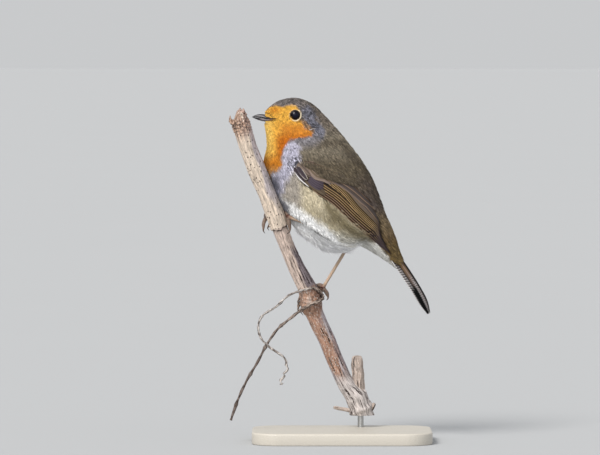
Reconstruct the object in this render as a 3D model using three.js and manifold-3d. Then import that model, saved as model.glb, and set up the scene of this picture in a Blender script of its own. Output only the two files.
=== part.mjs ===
// A life-size European robin that clings to a cut length of dead plant stem, on a plain display stand.
//
// Millimetres, +Z up. The bird faces -X and its left side is -Y. The origin is the centre of the
// stand's underside. The body is one loft, parted into head, neck and trunk by thin cuts.
import * as THREE from 'three';
import { ParametricGeometry } from 'three/addons/geometries/ParametricGeometry.js';
import { mergeVertices } from 'three/addons/utils/BufferGeometryUtils.js';
import Module from 'manifold-3d';

const wasm = await Module();
wasm.setup();

// ---------------------------------------------------------------- driving dimensions
const GAP = 0.3; // between neighbouring pieces
const SIDES = { left: -1, right: 1 }; // sign of Y
// Flat faces round each kind of piece.
const FACETS = {
  body: 22, wing: 10, tail: 14, bill: 10, eye: 12, tarsus: 9, toe: 6, stem: 12, vine: 6, rod: 16,
};

// Body sections from the bill's root to the tail: back point (x, z), belly point (x, z), half width.
const SECTIONS = [
  [-39.2, 163.8, -39.0, 160.2, 2.2],
  [-37.2, 166.4, -38.6, 158.4, 3.2],
  [-31.5, 170.4, -38.0, 155.6, 5.0],
  [-23.0, 171.8, -37.5, 151.8, 7.5],
  [-15.0, 168.8, -37.4, 147.2, 9.2],
  [-8.5, 162.6, -38.5, 142.0, 11.2],
  [-0.8, 153.9, -39.2, 135.8, 15.0],
  [8.2, 142.3, -35.4, 126.2, 19.2],
  [14.2, 132.5, -29.0, 115.8, 21.2],
  [18.2, 122.8, -21.5, 106.0, 20.0],
  [20.2, 117.0, -10.9, 98.0, 17.2],
  [21.7, 112.5, 0.3, 96.2, 13.8],
  [23.6, 108.5, 8.3, 98.8, 10.0],
  [26.3, 102.3, 17.0, 94.2, 7.2],
  [29.3, 94.0, 27.0, 87.0, 4.8],
];
const BELLY_FULLNESS = 0.08; // how far each section is fuller below its middle
const FLANK_FOLD = { depth: 0.44, first: 7.9, last: 11.9, height: 0.175 }; // belly set back below each flank
// The face draws in beside the bill: share of the width, height in the section, spread, last section.
const LORE = { depth: 0.3, height: 0.4, spread: 0.22, last: 2.4 };
const HEAD_END = 4.9; // section where the head ends
const NECK_END = 6.4; // section where the neck ends

const EYE = { x: -23.4, z: 163.5, radius: 3.2, visible: 2.5, proud: 0.7 };

// Bill: x from tip to root, culmen height, edge height where the mandibles meet, chin height, half width.
const BILL = [
  [-45.0, 162.6, 162.5, 162.4, 0.15],
  [-43.4, 163.4, 162.4, 161.6, 0.8],
  [-41.3, 163.9, 162.1, 160.8, 1.4],
  [-38.6, 163.8, 161.7, 160.2, 2.2],
  [-36.6, 163.1, 161.4, 160.2, 2.9],
  [-34.5, 161.9, 161.3, 160.8, 3.3],
];

// Wing edges in side view, from the wrist to the wing tip (x, z).
const WING_LOWER = [
  [-22.4, 137.8], [-16.0, 127.2], [-5.5, 120.0], [4.0, 110.8], [12.0, 103.6], [19.0, 97.6], [24.6, 93.2],
];
const WING_UPPER = [
  [-20.5, 141.2], [-9.0, 137.9], [4.0, 130.4], [13.6, 121.9], [17.9, 112.4], [19.4, 103.9], [24.8, 93.6],
];
const WING_THICK = 1.7;
const WING_PROUD = 0.5; // how far the middle of the wing lies outside the trunk
// Parts of the wing with the shares of its length where each begins and ends.
const WING_PARTS = [['coverts', 0, 0.357], ['secondaries', 0.363, 0.637], ['primaries', 0.643, 1]];
const WING_PART_GAP = 0.0035; // half the share between two parts
const WING_RINGS = 14;

// Tail sections: ridge (x, z), outer edge (x, z), half width.
const TAIL = [
  [23.2, 102.5, 20.0, 99.0, 3.6],
  [28.7, 94.0, 25.0, 91.6, 5.0],
  [34.0, 86.2, 30.0, 84.2, 6.2],
  [39.0, 78.3, 35.0, 76.6, 7.0],
  [42.9, 70.9, 39.0, 69.7, 7.2],
  [44.4, 64.6, 43.2, 64.0, 4.6],
];
const TAIL_THICK = 1.5;

// Stem sections: height, x of the axis, radius. The axis leans over towards -Y as it rises.
const STEM = [
  [8.0, 12.4, 5.4], [14.0, 9.9, 5.4], [22.4, 7.0, 5.7], [27.0, 2.9, 4.5], [30.8, 0.6, 4.1],
  [40.0, -3.4, 4.1], [50.7, -7.6, 4.2], [58.3, -11.3, 4.3], [64.3, -13.9, 4.4],
  [66.5, -15.0, 5.3], [70.5, -15.6, 5.7], [74.5, -16.6, 5.2], [77.5, -17.7, 4.7], [87.0, -22.8, 4.1],
  [96.1, -26.8, 3.7], [107.8, -31.4, 3.8], [108.6, -31.7, 4.6], [114.7, -33.7, 4.6], [123.8, -37.2, 4.3],
  [136.4, -42.6, 4.6], [147.5, -46.8, 4.3], [158.0, -49.9, 4.5], [164.5, -52.3, 4.3],
];
const STEM_LEAN = { y: 20.84, slope: -0.2394 };
const STEM_BOTTOM = 12;
const BARK_RIDGE = 0.02;
const VINE_RADIUS = 0.6;
const VINE_HUG = 1.0; // from the bark to the vine's middle

const THIGH = { radii: [9, 6, 7], tilt: 0.6 };
const TARSUS_RADIUS = 0.78;
const TOE_RADIUS = 0.72;
const CLAW_RADIUS = 0.45;
const CUFF = { top: 3.0, low: 1.5 }; // radii of the feathers round the top of the right leg

const BASE = { length: 90, depth: 60, thick: 6, corner: 14 };
const ROD_RADIUS = 1.5;
const ROD_Z = { low: 3, high: 18 };

// ---------------------------------------------------------------- helpers
// Uniform Catmull-Rom value of column k of rows, at station t.
function smooth(rows, k, t) {
  const last = rows.length - 1;
  const i = Math.min(Math.max(Math.floor(t), 0), last - 1);
  const f = t - i;
  const at = (j) => rows[Math.min(Math.max(j, 0), last)][k];
  const [a, b, c, d] = [at(i - 1), at(i), at(i + 1), at(i + 2)];
  return 0.5 * (2 * b + (c - a) * f + (2 * a - 5 * b + 4 * c - d) * f * f + (3 * b - a - 3 * c + d) * f ** 3);
}

const mix = (a, b, t) => a + (b - a) * t;
const ramp = (x, low, high) => {
  const t = Math.min(Math.max((x - low) / (high - low), 0), 1);
  return t * t * (3 - 2 * t);
};

// A closed three.js geometry as a solid, turned outwards if it came inside out.
function solidOf(geometry) {
  geometry.deleteAttribute('normal');
  geometry.deleteAttribute('uv');
  const merged = mergeVertices(geometry, 1e-4);
  const index = merged.index.array;
  const faces = [];
  for (let i = 0; i < index.length; i += 3) {
    const [a, b, c] = [index[i], index[i + 1], index[i + 2]];
    if (a !== b && b !== c && a !== c) faces.push(a, b, c);
  }
  const vertProperties = merged.attributes.position.array;
  const made = (triVerts) => new wasm.Manifold(new wasm.Mesh({ numProp: 3, vertProperties, triVerts }));
  const solid = made(new Uint32Array(faces));
  return solid.volume() > 0 ? solid : made(new Uint32Array(faces.reverse()));
}

// A closed solid from rings: ring(v, angle) gives a point, and both ends close at their middle.
function ringSolid(ring, rings, sides) {
  const middle = (v) => {
    const sum = new THREE.Vector3();
    for (let i = 0; i < sides; i++) sum.add(ring(v, (i / sides) * 2 * Math.PI));
    return sum.divideScalar(sides);
  };
  const ends = [middle(0), middle(1)];
  const point = (u, v, target) => {
    const row = Math.round(v * (rings + 2));
    if (row === 0) return target.copy(ends[0]);
    if (row === rings + 2) return target.copy(ends[1]);
    return target.copy(ring((row - 1) / rings, (Math.round(u * sides) % sides) * ((2 * Math.PI) / sides)));
  };
  return solidOf(new ParametricGeometry(point, sides, rings + 2));
}

// A tube along a smooth curve through points, with its radius given by share of length.
function tube(points, radius, steps, sides) {
  const curve = new THREE.CatmullRomCurve3(points);
  const frames = curve.computeFrenetFrames(steps, false);
  return ringSolid((v, angle) => {
    const i = Math.round(v * steps);
    const r = radius(v);
    return curve.getPointAt(v)
      .addScaledVector(frames.normals[i], Math.cos(angle) * r)
      .addScaledVector(frames.binormals[i], Math.sin(angle) * r);
  }, steps, sides);
}

const biggest = (solid) => solid.decompose().reduce((a, b) => (a.volume() > b.volume() ? a : b));

function ellipsoid(centre, radii, tilt) {
  const geometry = new THREE.SphereGeometry(1, 10, 7).scale(...radii);
  geometry.rotateY(tilt).translate(...centre);
  return solidOf(geometry);
}

// ---------------------------------------------------------------- body
// Half width of section u at height c, from -1 at the belly to 1 at the back.
function halfWidth(u, c) {
  const round = Math.sqrt(Math.max(1 - c * c, 0)) * (1 - BELLY_FULLNESS * c);
  const { depth, first, last, height } = FLANK_FOLD;
  const here = ramp(u, first, first + 0.7) * ramp(u, last, last - 0.7);
  const crease = height * Math.sin(Math.PI * Math.min(Math.max((u - first) / (last - first), 0), 1)) ** 0.8;
  const below = 1 - ramp((c + 1) / 2, crease - 0.05, crease + 0.04);
  const beside = Math.exp(-((((c + 1) / 2 - LORE.height) / LORE.spread) ** 2));
  const lore = LORE.depth * (1 - ramp(u, 0.6, LORE.last)) * beside;
  return smooth(SECTIONS, 4, u) * round * (1 - depth * here * below) * (1 - lore);
}

function bodyPoint(u, angle) {
  const c = Math.cos(angle);
  const h = (1 + c) / 2;
  const half = halfWidth(u, c) * Math.sign(Math.sin(angle));
  return new THREE.Vector3(
    mix(smooth(SECTIONS, 2, u), smooth(SECTIONS, 0, u), h),
    half,
    mix(smooth(SECTIONS, 3, u), smooth(SECTIONS, 1, u), h),
  );
}

const bodySolid = (from, to, rings) =>
  ringSolid((v, angle) => bodyPoint(mix(from, to, v), angle), rings, FACETS.body);

// The trunk's half width at a point of the side view: the section whose line passes through it.
function flankAt(x, z) {
  let best = { miss: Infinity };
  for (let u = 3; u <= SECTIONS.length - 1; u += 0.02) {
    const [bx, bz] = [smooth(SECTIONS, 2, u), smooth(SECTIONS, 3, u)];
    const [dx, dz] = [smooth(SECTIONS, 0, u) - bx, smooth(SECTIONS, 1, u) - bz];
    const length = Math.hypot(dx, dz);
    const miss = Math.abs((x - bx) * dz - (z - bz) * dx) / length;
    const c = (2 * ((x - bx) * dx + (z - bz) * dz)) / length ** 2 - 1;
    if (miss < best.miss && Math.abs(c) < 1) best = { miss, half: halfWidth(u, c) };
  }
  return best.half;
}

// ---------------------------------------------------------------- wings and tail
// A lens-shaped slab over the flank, between the wing's two edges and two shares of its length;
// grow widens it on every side.
function wingSolid(side, from, to, grow) {
  const stations = WING_LOWER.length - 1;
  const rings = Math.round(WING_RINGS * (to - from));
  return ringSolid((v, angle) => {
    const share = mix(from, to, v);
    const s = share * stations;
    const low = [smooth(WING_LOWER, 0, s), smooth(WING_LOWER, 1, s)];
    const high = [smooth(WING_UPPER, 0, s), smooth(WING_UPPER, 1, s)];
    const width = Math.hypot(high[0] - low[0], high[1] - low[1]);
    const t = 0.5 - (0.5 + grow / width) * Math.cos(angle);
    const inner = Math.min(Math.max(t, 0.02), 0.98);
    const flank = flankAt(mix(low[0], high[0], inner), mix(low[1], high[1], inner));
    const thick = WING_THICK * Math.min(1, 0.35 + 6 * share, 0.35 + 4 * (1 - share)) + 2 * grow;
    const y = side * (flank + WING_PROUD + (Math.sin(angle) * thick) / 2);
    return new THREE.Vector3(mix(low[0], high[0], t), y, mix(low[1], high[1], t));
  }, rings, FACETS.wing);
}

// The closed tail: a roof whose ridge is the middle pair of feathers, thin at both edges.
function tailSolid(grow) {
  const last = TAIL.length - 1;
  return ringSolid((v, angle) => {
    const s = v * last;
    const across = Math.cos(angle) * (1 + grow / smooth(TAIL, 4, s));
    const drop = Math.min(Math.abs(across), 1) ** 1.4;
    const [x, z] = [smooth(TAIL, 2, s), smooth(TAIL, 3, s)];
    const out = new THREE.Vector2(smooth(TAIL, 0, s) - x, smooth(TAIL, 1, s) - z);
    const roof = out.length();
    out.normalize();
    const thick = TAIL_THICK * (0.45 + 0.55 * Math.sin(angle) ** 2) + 2 * grow;
    const rise = roof * (1 - drop) - TAIL_THICK / 2 + Math.sin(angle) * thick / 2;
    return new THREE.Vector3(x + out.x * rise, across * smooth(TAIL, 4, s), z + out.y * rise);
  }, 10, FACETS.tail);
}

// ---------------------------------------------------------------- bill and eyes
// One mandible: a half-round section between the mouth line and the culmen or the chin.
function mandible(upper, grow) {
  const last = BILL.length - 1;
  const sign = upper ? 1 : -1;
  return ringSolid((v, angle) => {
    const s = v * last;
    const mouth = smooth(BILL, 2, s) + sign * (GAP / 2 - grow);
    const far = smooth(BILL, upper ? 1 : 3, s) + sign * grow;
    const half = smooth(BILL, 4, s) + grow;
    const rise = Math.max(Math.sin(angle), 0);
    return new THREE.Vector3(
      smooth(BILL, 0, s) + (v === 1 ? grow : 0),
      Math.cos(angle) * half * (upper ? 1 : 0.92),
      Math.sin(angle) >= 0 ? mix(mouth, far, rise) : mouth,
    );
  }, 7, FACETS.bill);
}

function eyeSolid(side, grow) {
  const depth = Math.sqrt(EYE.radius ** 2 - EYE.visible ** 2);
  const cap = EYE.radius - depth;
  const y = flankAt(EYE.x, EYE.z) + EYE.proud - cap - depth;
  const ball = new THREE.SphereGeometry(EYE.radius + grow, FACETS.eye, FACETS.eye * 0.75);
  return solidOf(ball.rotateX(Math.PI / 2).translate(EYE.x, side * y, EYE.z));
}

// ---------------------------------------------------------------- stem, vine and stand
const stemUp = new THREE.Vector3(-0.41, STEM_LEAN.slope, 1).normalize();
const stemRight = new THREE.Vector3(1, 0, 0).addScaledVector(stemUp, -stemUp.x).normalize();
const stemBack = stemUp.clone().cross(stemRight);

// The axis point and the radius at a height.
function stemAt(z) {
  const next = Math.max(STEM.findIndex(([height]) => height >= z), 1);
  const [[z0, x0, r0], [z1, x1, r1]] = [STEM[next - 1], STEM[next]];
  const t = (z - z0) / (z1 - z0);
  const axis = new THREE.Vector3(mix(x0, x1, t), STEM_LEAN.y + STEM_LEAN.slope * z, z);
  return { axis, radius: mix(r0, r1, t) };
}

// A point near the stem: height of its axis point, angle round it (0 faces the bird, 90 the far side),
// and distance from the axis.
function byStem(z, degrees, distance) {
  const angle = THREE.MathUtils.degToRad(degrees);
  return stemAt(z).axis
    .addScaledVector(stemRight, Math.cos(angle) * distance)
    .addScaledVector(stemBack, Math.sin(angle) * distance);
}

function stemSolid() {
  const rows = STEM.length - 1;
  const stem = ringSolid((v, angle) => {
    const row = Math.round(v * rows);
    const torn = row === rows ? 2.0 * Math.cos(2 * angle) - 1.2 * Math.sin(angle) : 0;
    const radius = STEM[row][2] * (1 + BARK_RIDGE * Math.cos(5 * angle));
    return byStem(STEM[row][0], THREE.MathUtils.radToDeg(angle), radius).add(new THREE.Vector3(0, 0, torn));
  }, rows, FACETS.stem);
  const branch = (points, thick, thin) =>
    tube(points.map((p) => byStem(...p)), (v) => mix(thick, thin, v), points.length + 1, 8);
  const stub = branch([[20, 8, 1], [27, 8, 6], [32.5, 8, 8.8], [38, 8, 10.9]], 3.1, 2.8);
  const twig = branch([[15.2, 190, 1], [17, 190, 6], [21.2, 190, 12.7]], 1.1, 0.8);
  const bud = branch([[12.8, -5, 1.5], [13.3, -5, 5.2], [15.6, -5, 7.7]], 1.1, 0.9);
  const sawn = solidOf(new THREE.BoxGeometry(80, 80, 40).translate(0, 0, STEM_BOTTOM - 20));
  return biggest(stem.add(stub).add(twig).add(bud).subtract(sawn).subtract(rodSolid(GAP)));
}

// A dry climbing vine: its free curl, a hairpin over the front of the stem's joint, and its cut lower end.
function vineSolid() {
  const curl = [
    [-30.6, -5.6, 28.8], [-29.6, -5.4, 32.6], [-27.6, -5.2, 37.0], [-29.0, -5.0, 42.4], [-36.2, -4.6, 47.6],
    [-40.6, -4.4, 52.4], [-41.8, -4.2, 58.6], [-39.4, -4.1, 63.6], [-33.1, -4.0, 67.7], [-26.8, -3.8, 73.3],
  ];
  const hairpin = [
    [77.9, -122], [77.7, -81], [77.0, -55], [74.6, -31], [71.6, -16], [69.9, -22], [70.2, -51],
    [70.5, -87], [69.9, -117], [68.7, -146],
  ];
  const lower = [
    [-26.6, -0.6, 61.2], [-32.4, -1.8, 56.2], [-37.6, -2.6, 48.8], [-42.1, -3.2, 40.2], [-47.2, -3.8, 31.6],
    [-51.8, -4.4, 21.8], [-55.6, -4.8, 11.0],
  ];
  const points = [
    ...curl.map((p) => new THREE.Vector3(...p)),
    ...hairpin.map(([z, degrees]) => byStem(z, degrees, stemAt(z).radius + VINE_HUG)),
    ...lower.map((p) => new THREE.Vector3(...p)),
  ];
  const thick = (v) => VINE_RADIUS * (0.8 + 0.35 * ramp(v, 0.5, 0.62) - 0.25 * ramp(v, 0.75, 1));
  return tube(points, thick, 64, FACETS.vine);
}

function rodSolid(grow) {
  const height = ROD_Z.high - ROD_Z.low + 2 * grow;
  const foot = stemAt((STEM_BOTTOM + ROD_Z.high) / 2).axis;
  const rod = new THREE.CylinderGeometry(ROD_RADIUS + grow, ROD_RADIUS + grow, height, FACETS.rod);
  return solidOf(rod.rotateX(Math.PI / 2).translate(foot.x, foot.y, (ROD_Z.low + ROD_Z.high) / 2));
}

function baseSolid() {
  const { length, depth, thick, corner } = BASE;
  const [x, y] = [length / 2, depth / 2];
  const shape = new THREE.Shape();
  shape.moveTo(-x + corner, -y);
  shape.lineTo(x - corner, -y).absarc(x - corner, -y + corner, corner, -Math.PI / 2, 0);
  shape.lineTo(x, y - corner).absarc(x - corner, y - corner, corner, 0, Math.PI / 2);
  shape.lineTo(-x + corner, y).absarc(-x + corner, y - corner, corner, Math.PI / 2, Math.PI);
  shape.lineTo(-x, -y + corner).absarc(-x + corner, -y + corner, corner, Math.PI, 1.5 * Math.PI);
  const plate = new THREE.ExtrudeGeometry(shape, { depth: thick, bevelEnabled: false, curveSegments: 6 });
  return solidOf(plate).subtract(rodSolid(GAP));
}

// ---------------------------------------------------------------- legs
// Each foot: the joint where the toes meet, the heel, and its toes as points by the stem.
// A toe's points are [height above the joint, degrees round the stem, distance from its axis].
const LEGS = {
  left: {
    joint: [111.1, -14, 6.2],
    heel: [-4.0, 104.6, -12.6],
    thigh: [-3.5, 105.5, -12.5],
    toes: {
      1: [[-0.8, -16, 6.1], [-3.0, -22, 5.9], [-5.4, -28, 5.6]],
      2: [[0.9, 2, 6.0], [3.0, 50, 5.8], [4.4, 105, 5.8], [4.2, 142, 5.8]],
      3: [[0.4, 4, 6.0], [1.7, 55, 5.8], [2.2, 110, 5.8], [2.0, 148, 6.0], [0.6, 170, 7.0], [-1.1, 180, 7.6]],
      4: [[-0.8, 2, 6.0], [-1.4, 50, 5.8], [-1.7, 105, 5.8], [-1.6, 148, 5.8]],
    },
    claws: {
      1: [[-5.8, -31, 5.5], [-6.6, -42, 5.4], [-6.7, -58, 5.2]],
      2: [[4.0, 147, 5.8], [3.4, 158, 6.0], [2.3, 167, 5.6]],
      3: [[-1.5, 181, 7.8], [-2.4, 184, 8.1], [-3.7, 187, 7.8]],
      4: [[-1.9, 153, 5.8], [-2.4, 165, 6.0], [-3.4, 177, 5.4]],
    },
  },
  right: {
    joint: [74.0, 6, 7.5],
    heel: [3.1, 97.6, 7.2],
    thigh: [0.5, 103.5, 10.5],
    toes: {
      1: [[-0.9, 5, 7.9], [-2.8, 6, 8.7], [-4.7, 5, 9.1]],
      2: [[0.9, 18, 7.3], [1.0, 50, 6.7], [0.2, 100, 6.7], [-1.4, 148, 6.7]],
      3: [[0.0, 20, 7.3], [-1.0, 50, 6.8], [-2.2, 100, 6.8], [-3.6, 148, 6.8], [-4.6, 170, 7.0]],
      4: [[-0.9, 18, 7.3], [-2.9, 50, 6.8], [-4.9, 100, 6.7], [-6.6, 148, 6.5]],
    },
    claws: {
      1: [[-5.1, 4, 9.1], [-5.8, 0, 8.8], [-6.0, -6, 8.0]],
      2: [[-1.7, 153, 6.7], [-2.4, 165, 7.0], [-3.5, 176, 6.6]],
      3: [[-4.9, 173, 7.0], [-5.9, 179, 7.3], [-7.3, 184, 6.6]],
      4: [[-7.0, 152, 6.4], [-7.8, 164, 6.3], [-9.2, 172, 5.6]],
    },
  },
};

function legSolids(name) {
  const leg = LEGS[name];
  const place = ([rise, degrees, distance]) => byStem(leg.joint[0] + rise, degrees, distance);
  const joint = byStem(...leg.joint);
  const [hx, hz, hy] = leg.heel;
  const heel = new THREE.Vector3(hx, hy, hz);
  const tarsusTube = (grow) => tube(
    [joint, joint.clone().lerp(heel, 0.35), joint.clone().lerp(heel, 0.7), heel],
    (v) => TARSUS_RADIUS * (1 + 0.35 * ramp(v, 0.12, 0) + 0.3 * ramp(v, 0.85, 1)) + grow, 8, FACETS.tarsus,
  );
  const solids = { tarsus: tarsusTube(0), room: tarsusTube(GAP) };
  let taken = tarsusTube(GAP);
  for (const [digit, points] of Object.entries(leg.toes)) {
    const toe = (grow) => tube(
      points.map(place),
      (v) => TOE_RADIUS * (1.05 - 0.25 * v + 0.08 * Math.cos(v * 6 * Math.PI)) + grow, 8, FACETS.toe,
    );
    solids[`toe_${digit}`] = biggest(toe(0).subtract(taken));
    taken = taken.add(toe(GAP));
    const claw = tube(leg.claws[digit].map(place), (v) => CLAW_RADIUS * (1.1 - 0.85 * v), 5, FACETS.toe);
    solids[`claw_${digit}`] = biggest(claw.subtract(taken));
    solids.room = solids.room.add(toe(GAP));
  }
  return solids;
}

function thighSolid(name, grow) {
  const [x, z, y] = LEGS[name].thigh;
  return ellipsoid([x, y, z], THIGH.radii.map((r) => r + grow), THIGH.tilt);
}

// A short feathered cuff round the top of the right leg, where it leaves the belly.
function cuffSolid(grow) {
  const [hx, hz, hy] = LEGS.right.heel;
  const top = new THREE.Vector3(1.5, 8.6, 102.5);
  const low = new THREE.Vector3(hx, hy, hz).lerp(byStem(...LEGS.right.joint), 0.05);
  const points = [top, new THREE.Vector3(hx, hy, hz), low];
  return tube(points, (v) => mix(CUFF.top, CUFF.low, v) + grow, 3, FACETS.tarsus);
}

// ---------------------------------------------------------------- materials and the model
const FINISH = {
  plumage: [0x6d5f45, 0.9, 0], breast: [0xd9791c, 0.9, 0], flight: [0x5a4a38, 0.7, 0],
  horn: [0x2e2a2c, 0.35, 0], eye: [0x0b0808, 0.08, 0], leg: [0xa8765e, 0.6, 0],
  bark: [0xb3a28e, 0.9, 0], vine: [0x6f655c, 0.9, 0], plate: [0xcdbb9c, 0.5, 0], rod: [0x9a9a9a, 0.35, 1],
};

const robin = new THREE.Group();

function addNode(name, solid, finish) {
  const { numProp, vertProperties, triVerts } = solid.getMesh();
  const positions = new Float32Array((vertProperties.length / numProp) * 3);
  for (let i = 0; i < positions.length / 3; i++) {
    positions.set(vertProperties.subarray(i * numProp, i * numProp + 3), i * 3);
  }
  const geometry = new THREE.BufferGeometry();
  geometry.setAttribute('position', new THREE.BufferAttribute(positions, 3));
  geometry.setIndex(new THREE.BufferAttribute(new Uint32Array(triVerts), 1));
  geometry.computeVertexNormals();
  const [color, roughness, metalness] = FINISH[finish];
  const mesh = new THREE.Mesh(geometry, new THREE.MeshStandardMaterial({ color, roughness, metalness }));
  mesh.name = name;
  robin.add(mesh);
}

const billRoom = mandible(true, GAP).add(mandible(false, GAP));
let head = bodySolid(0, HEAD_END, 12).subtract(billRoom);
let trunk = bodySolid(NECK_END + 0.05, SECTIONS.length - 1, 20).subtract(tailSolid(GAP));
const neck = bodySolid(HEAD_END + 0.06, NECK_END, 3);

for (const [name, side] of Object.entries(SIDES)) {
  head = head.subtract(eyeSolid(side, GAP));
  addNode(`eye_${name}`, eyeSolid(side, 0), 'eye');

  for (const [part, from, to] of WING_PARTS) {
    addNode(`wing_${name}_${part}`, wingSolid(side, from, to, 0), 'flight');
    trunk = trunk.subtract(wingSolid(side, from - WING_PART_GAP, to + WING_PART_GAP, GAP));
  }

  const leg = legSolids(name);
  let thigh = trunk.intersect(thighSolid(name, 0));
  let room = thighSolid(name, GAP).add(leg.room);
  if (name === 'right') {
    thigh = thigh.add(cuffSolid(0));
    room = room.add(cuffSolid(GAP));
  }
  addNode(`thigh_${name}`, biggest(thigh.subtract(leg.room)), 'plumage');
  trunk = trunk.subtract(room);
  addNode(`tarsus_${name}`, leg.tarsus, 'leg');
  for (const digit of [1, 2, 3, 4]) {
    addNode(`toe_${name}_${digit}`, leg[`toe_${digit}`], 'leg');
    addNode(`claw_${name}_${digit}`, leg[`claw_${digit}`], 'horn');
  }
}

addNode('head', biggest(head), 'breast');
addNode('neck', neck, 'plumage');
addNode('trunk', biggest(trunk), 'plumage');
addNode('tail', tailSolid(0), 'flight');
addNode('bill_upper', mandible(true, 0), 'horn');
addNode('bill_lower', mandible(false, 0), 'horn');
addNode('perch_stem', stemSolid(), 'bark');
addNode('perch_vine', vineSolid(), 'vine');
addNode('stand_rod', rodSolid(0), 'rod');
addNode('stand_base', baseSolid(), 'plate');

export default robin;
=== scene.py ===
"""A life-size European robin clinging to a dead stem, on a plain stand, as a museum shows it.

Tables are in millimetres, in the part's own frame: +Z up, the bird faces -X, its left side is -Y.
Meshes are made in metres. The body is a loft of sections, read by a station u along it, from the bill's
root at 0 to the tail at 14, and by an angle round the section, 0 at the back and pi at the belly.
"""
import math

import bpy
import numpy as np
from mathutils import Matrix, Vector


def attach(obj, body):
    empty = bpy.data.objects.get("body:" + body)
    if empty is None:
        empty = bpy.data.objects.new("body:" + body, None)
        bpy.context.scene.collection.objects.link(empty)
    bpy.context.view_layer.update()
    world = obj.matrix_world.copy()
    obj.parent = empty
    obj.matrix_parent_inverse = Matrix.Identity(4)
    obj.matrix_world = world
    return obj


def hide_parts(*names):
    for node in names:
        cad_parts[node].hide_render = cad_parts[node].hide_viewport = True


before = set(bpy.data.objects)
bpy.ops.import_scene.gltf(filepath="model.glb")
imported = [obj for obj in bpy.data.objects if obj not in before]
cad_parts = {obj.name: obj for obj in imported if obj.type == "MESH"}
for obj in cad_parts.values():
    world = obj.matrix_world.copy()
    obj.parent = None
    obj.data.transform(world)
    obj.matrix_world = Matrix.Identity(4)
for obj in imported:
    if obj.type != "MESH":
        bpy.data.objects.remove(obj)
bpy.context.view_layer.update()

MM = 0.001
PI = math.pi
LIGHT = 1.34  # how much brighter a lit surface looks than its own colour
SIDES = {"left": -1, "right": 1}  # sign of Y

# ---------------------------------------------------------------- sizes, in millimetres
# Body sections: back point (x, z), belly point (x, z), half width. The last row is past the body's end: it
# only carries the feathers on over the root of the tail.
SECTIONS = np.array([
    [-39.2, 163.8, -39.0, 160.2, 2.2], [-37.2, 166.4, -38.6, 158.4, 3.2], [-31.5, 170.4, -38.0, 155.6, 5.0],
    [-23.0, 171.8, -37.5, 151.8, 7.5], [-15.0, 168.8, -37.4, 147.2, 9.2], [-8.5, 162.6, -38.5, 142.0, 11.2],
    [-0.8, 153.9, -39.2, 135.8, 15.0], [8.2, 142.3, -35.4, 126.2, 19.2], [14.2, 132.5, -29.0, 115.8, 21.2],
    [18.2, 122.8, -21.5, 106.0, 20.0], [20.2, 117.0, -10.9, 98.0, 17.2], [21.7, 112.5, 0.3, 96.2, 13.8],
    [23.6, 108.5, 8.3, 98.8, 10.0], [26.3, 102.3, 17.0, 94.2, 7.2], [29.3, 94.0, 27.0, 87.0, 4.8],
    [33.4, 86.6, 31.0, 82.8, 4.2],
])
TAIL_END = len(SECTIONS) - 2.0  # last station of the body
BELLY_FULLNESS = 0.08
FLANK_FOLD = {"depth": 0.44, "first": 7.9, "last": 11.9, "height": 0.175}
LORE = {"depth": 0.3, "height": 0.4, "spread": 0.22, "last": 2.4}
EYE = {"x": -23.4, "z": 163.5, "radius": 3.2, "visible": 2.5, "proud": 0.7}

# How the coat changes along the body: feather length, distance between roots, strand width, depth of the
# skin under the tips, and how far the tips stand out.
COAT = np.array([
    [1.2, 0.46, 0.22, 0.35, 0.06], [1.6, 0.50, 0.24, 0.45, 0.10], [2.1, 0.56, 0.27, 0.60, 0.13],
    [2.6, 0.62, 0.31, 0.70, 0.15], [3.2, 0.72, 0.36, 0.90, 0.17], [3.9, 0.84, 0.42, 1.10, 0.20],
    [4.7, 0.95, 0.48, 1.40, 0.24], [5.4, 1.00, 0.54, 1.60, 0.28], [6.0, 1.04, 0.56, 1.80, 0.30],
    [6.4, 1.06, 0.56, 1.80, 0.32], [6.8, 1.08, 0.56, 1.80, 0.34], [6.8, 1.05, 0.55, 1.60, 0.34],
    [6.2, 1.00, 0.52, 1.40, 0.28], [5.4, 0.92, 0.46, 1.20, 0.20], [4.4, 0.85, 0.42, 1.00, 0.12],
    [3.6, 0.80, 0.38, 0.80, 0.08],
])
STRANDS = 8  # strands in one tuft
TUFT_FAN = 0.11  # how far a tuft's strands turn out to each side, in radians
PATCH = 0.003  # width of one tuft's patch on the OFBake map

# Bill: x from tip to root, culmen height, height where the mandibles meet, chin height, half width.
BILL = np.array([
    [-45.0, 162.6, 162.5, 162.4, 0.15], [-43.4, 163.4, 162.4, 161.6, 0.8], [-41.3, 163.9, 162.1, 160.8, 1.4],
    [-38.6, 163.8, 161.7, 160.2, 2.2], [-36.6, 163.1, 161.4, 160.2, 2.9], [-34.5, 161.9, 161.3, 160.8, 3.3],
])
# The side of the bill's root that the feathers leave bare (x, z).
BILL_ROOM = [
    [-47, 164.8], [-39.2, 164.5], [-37.0, 163.9], [-35.6, 162.9], [-34.2, 161.6], [-35.0, 160.5],
    [-38.2, 159.6], [-47, 160.4],
]

# Wing edges from the side, from the wrist to the tip (x, z).
WING_LOWER = np.array([
    [-22.4, 137.8], [-16.0, 127.2], [-5.5, 120.0], [4.0, 110.8], [12.0, 103.6], [19.0, 97.6], [24.6, 93.2],
])
WING_UPPER = np.array([
    [-20.5, 141.2], [-9.0, 137.9], [4.0, 130.4], [13.6, 121.9], [17.9, 112.4], [19.4, 103.9], [24.8, 93.6],
])
WING_TOP = 1.5  # height of the wing's outer face above the flank
WING_RUN = 62.0  # length of the wing along its edge

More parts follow.
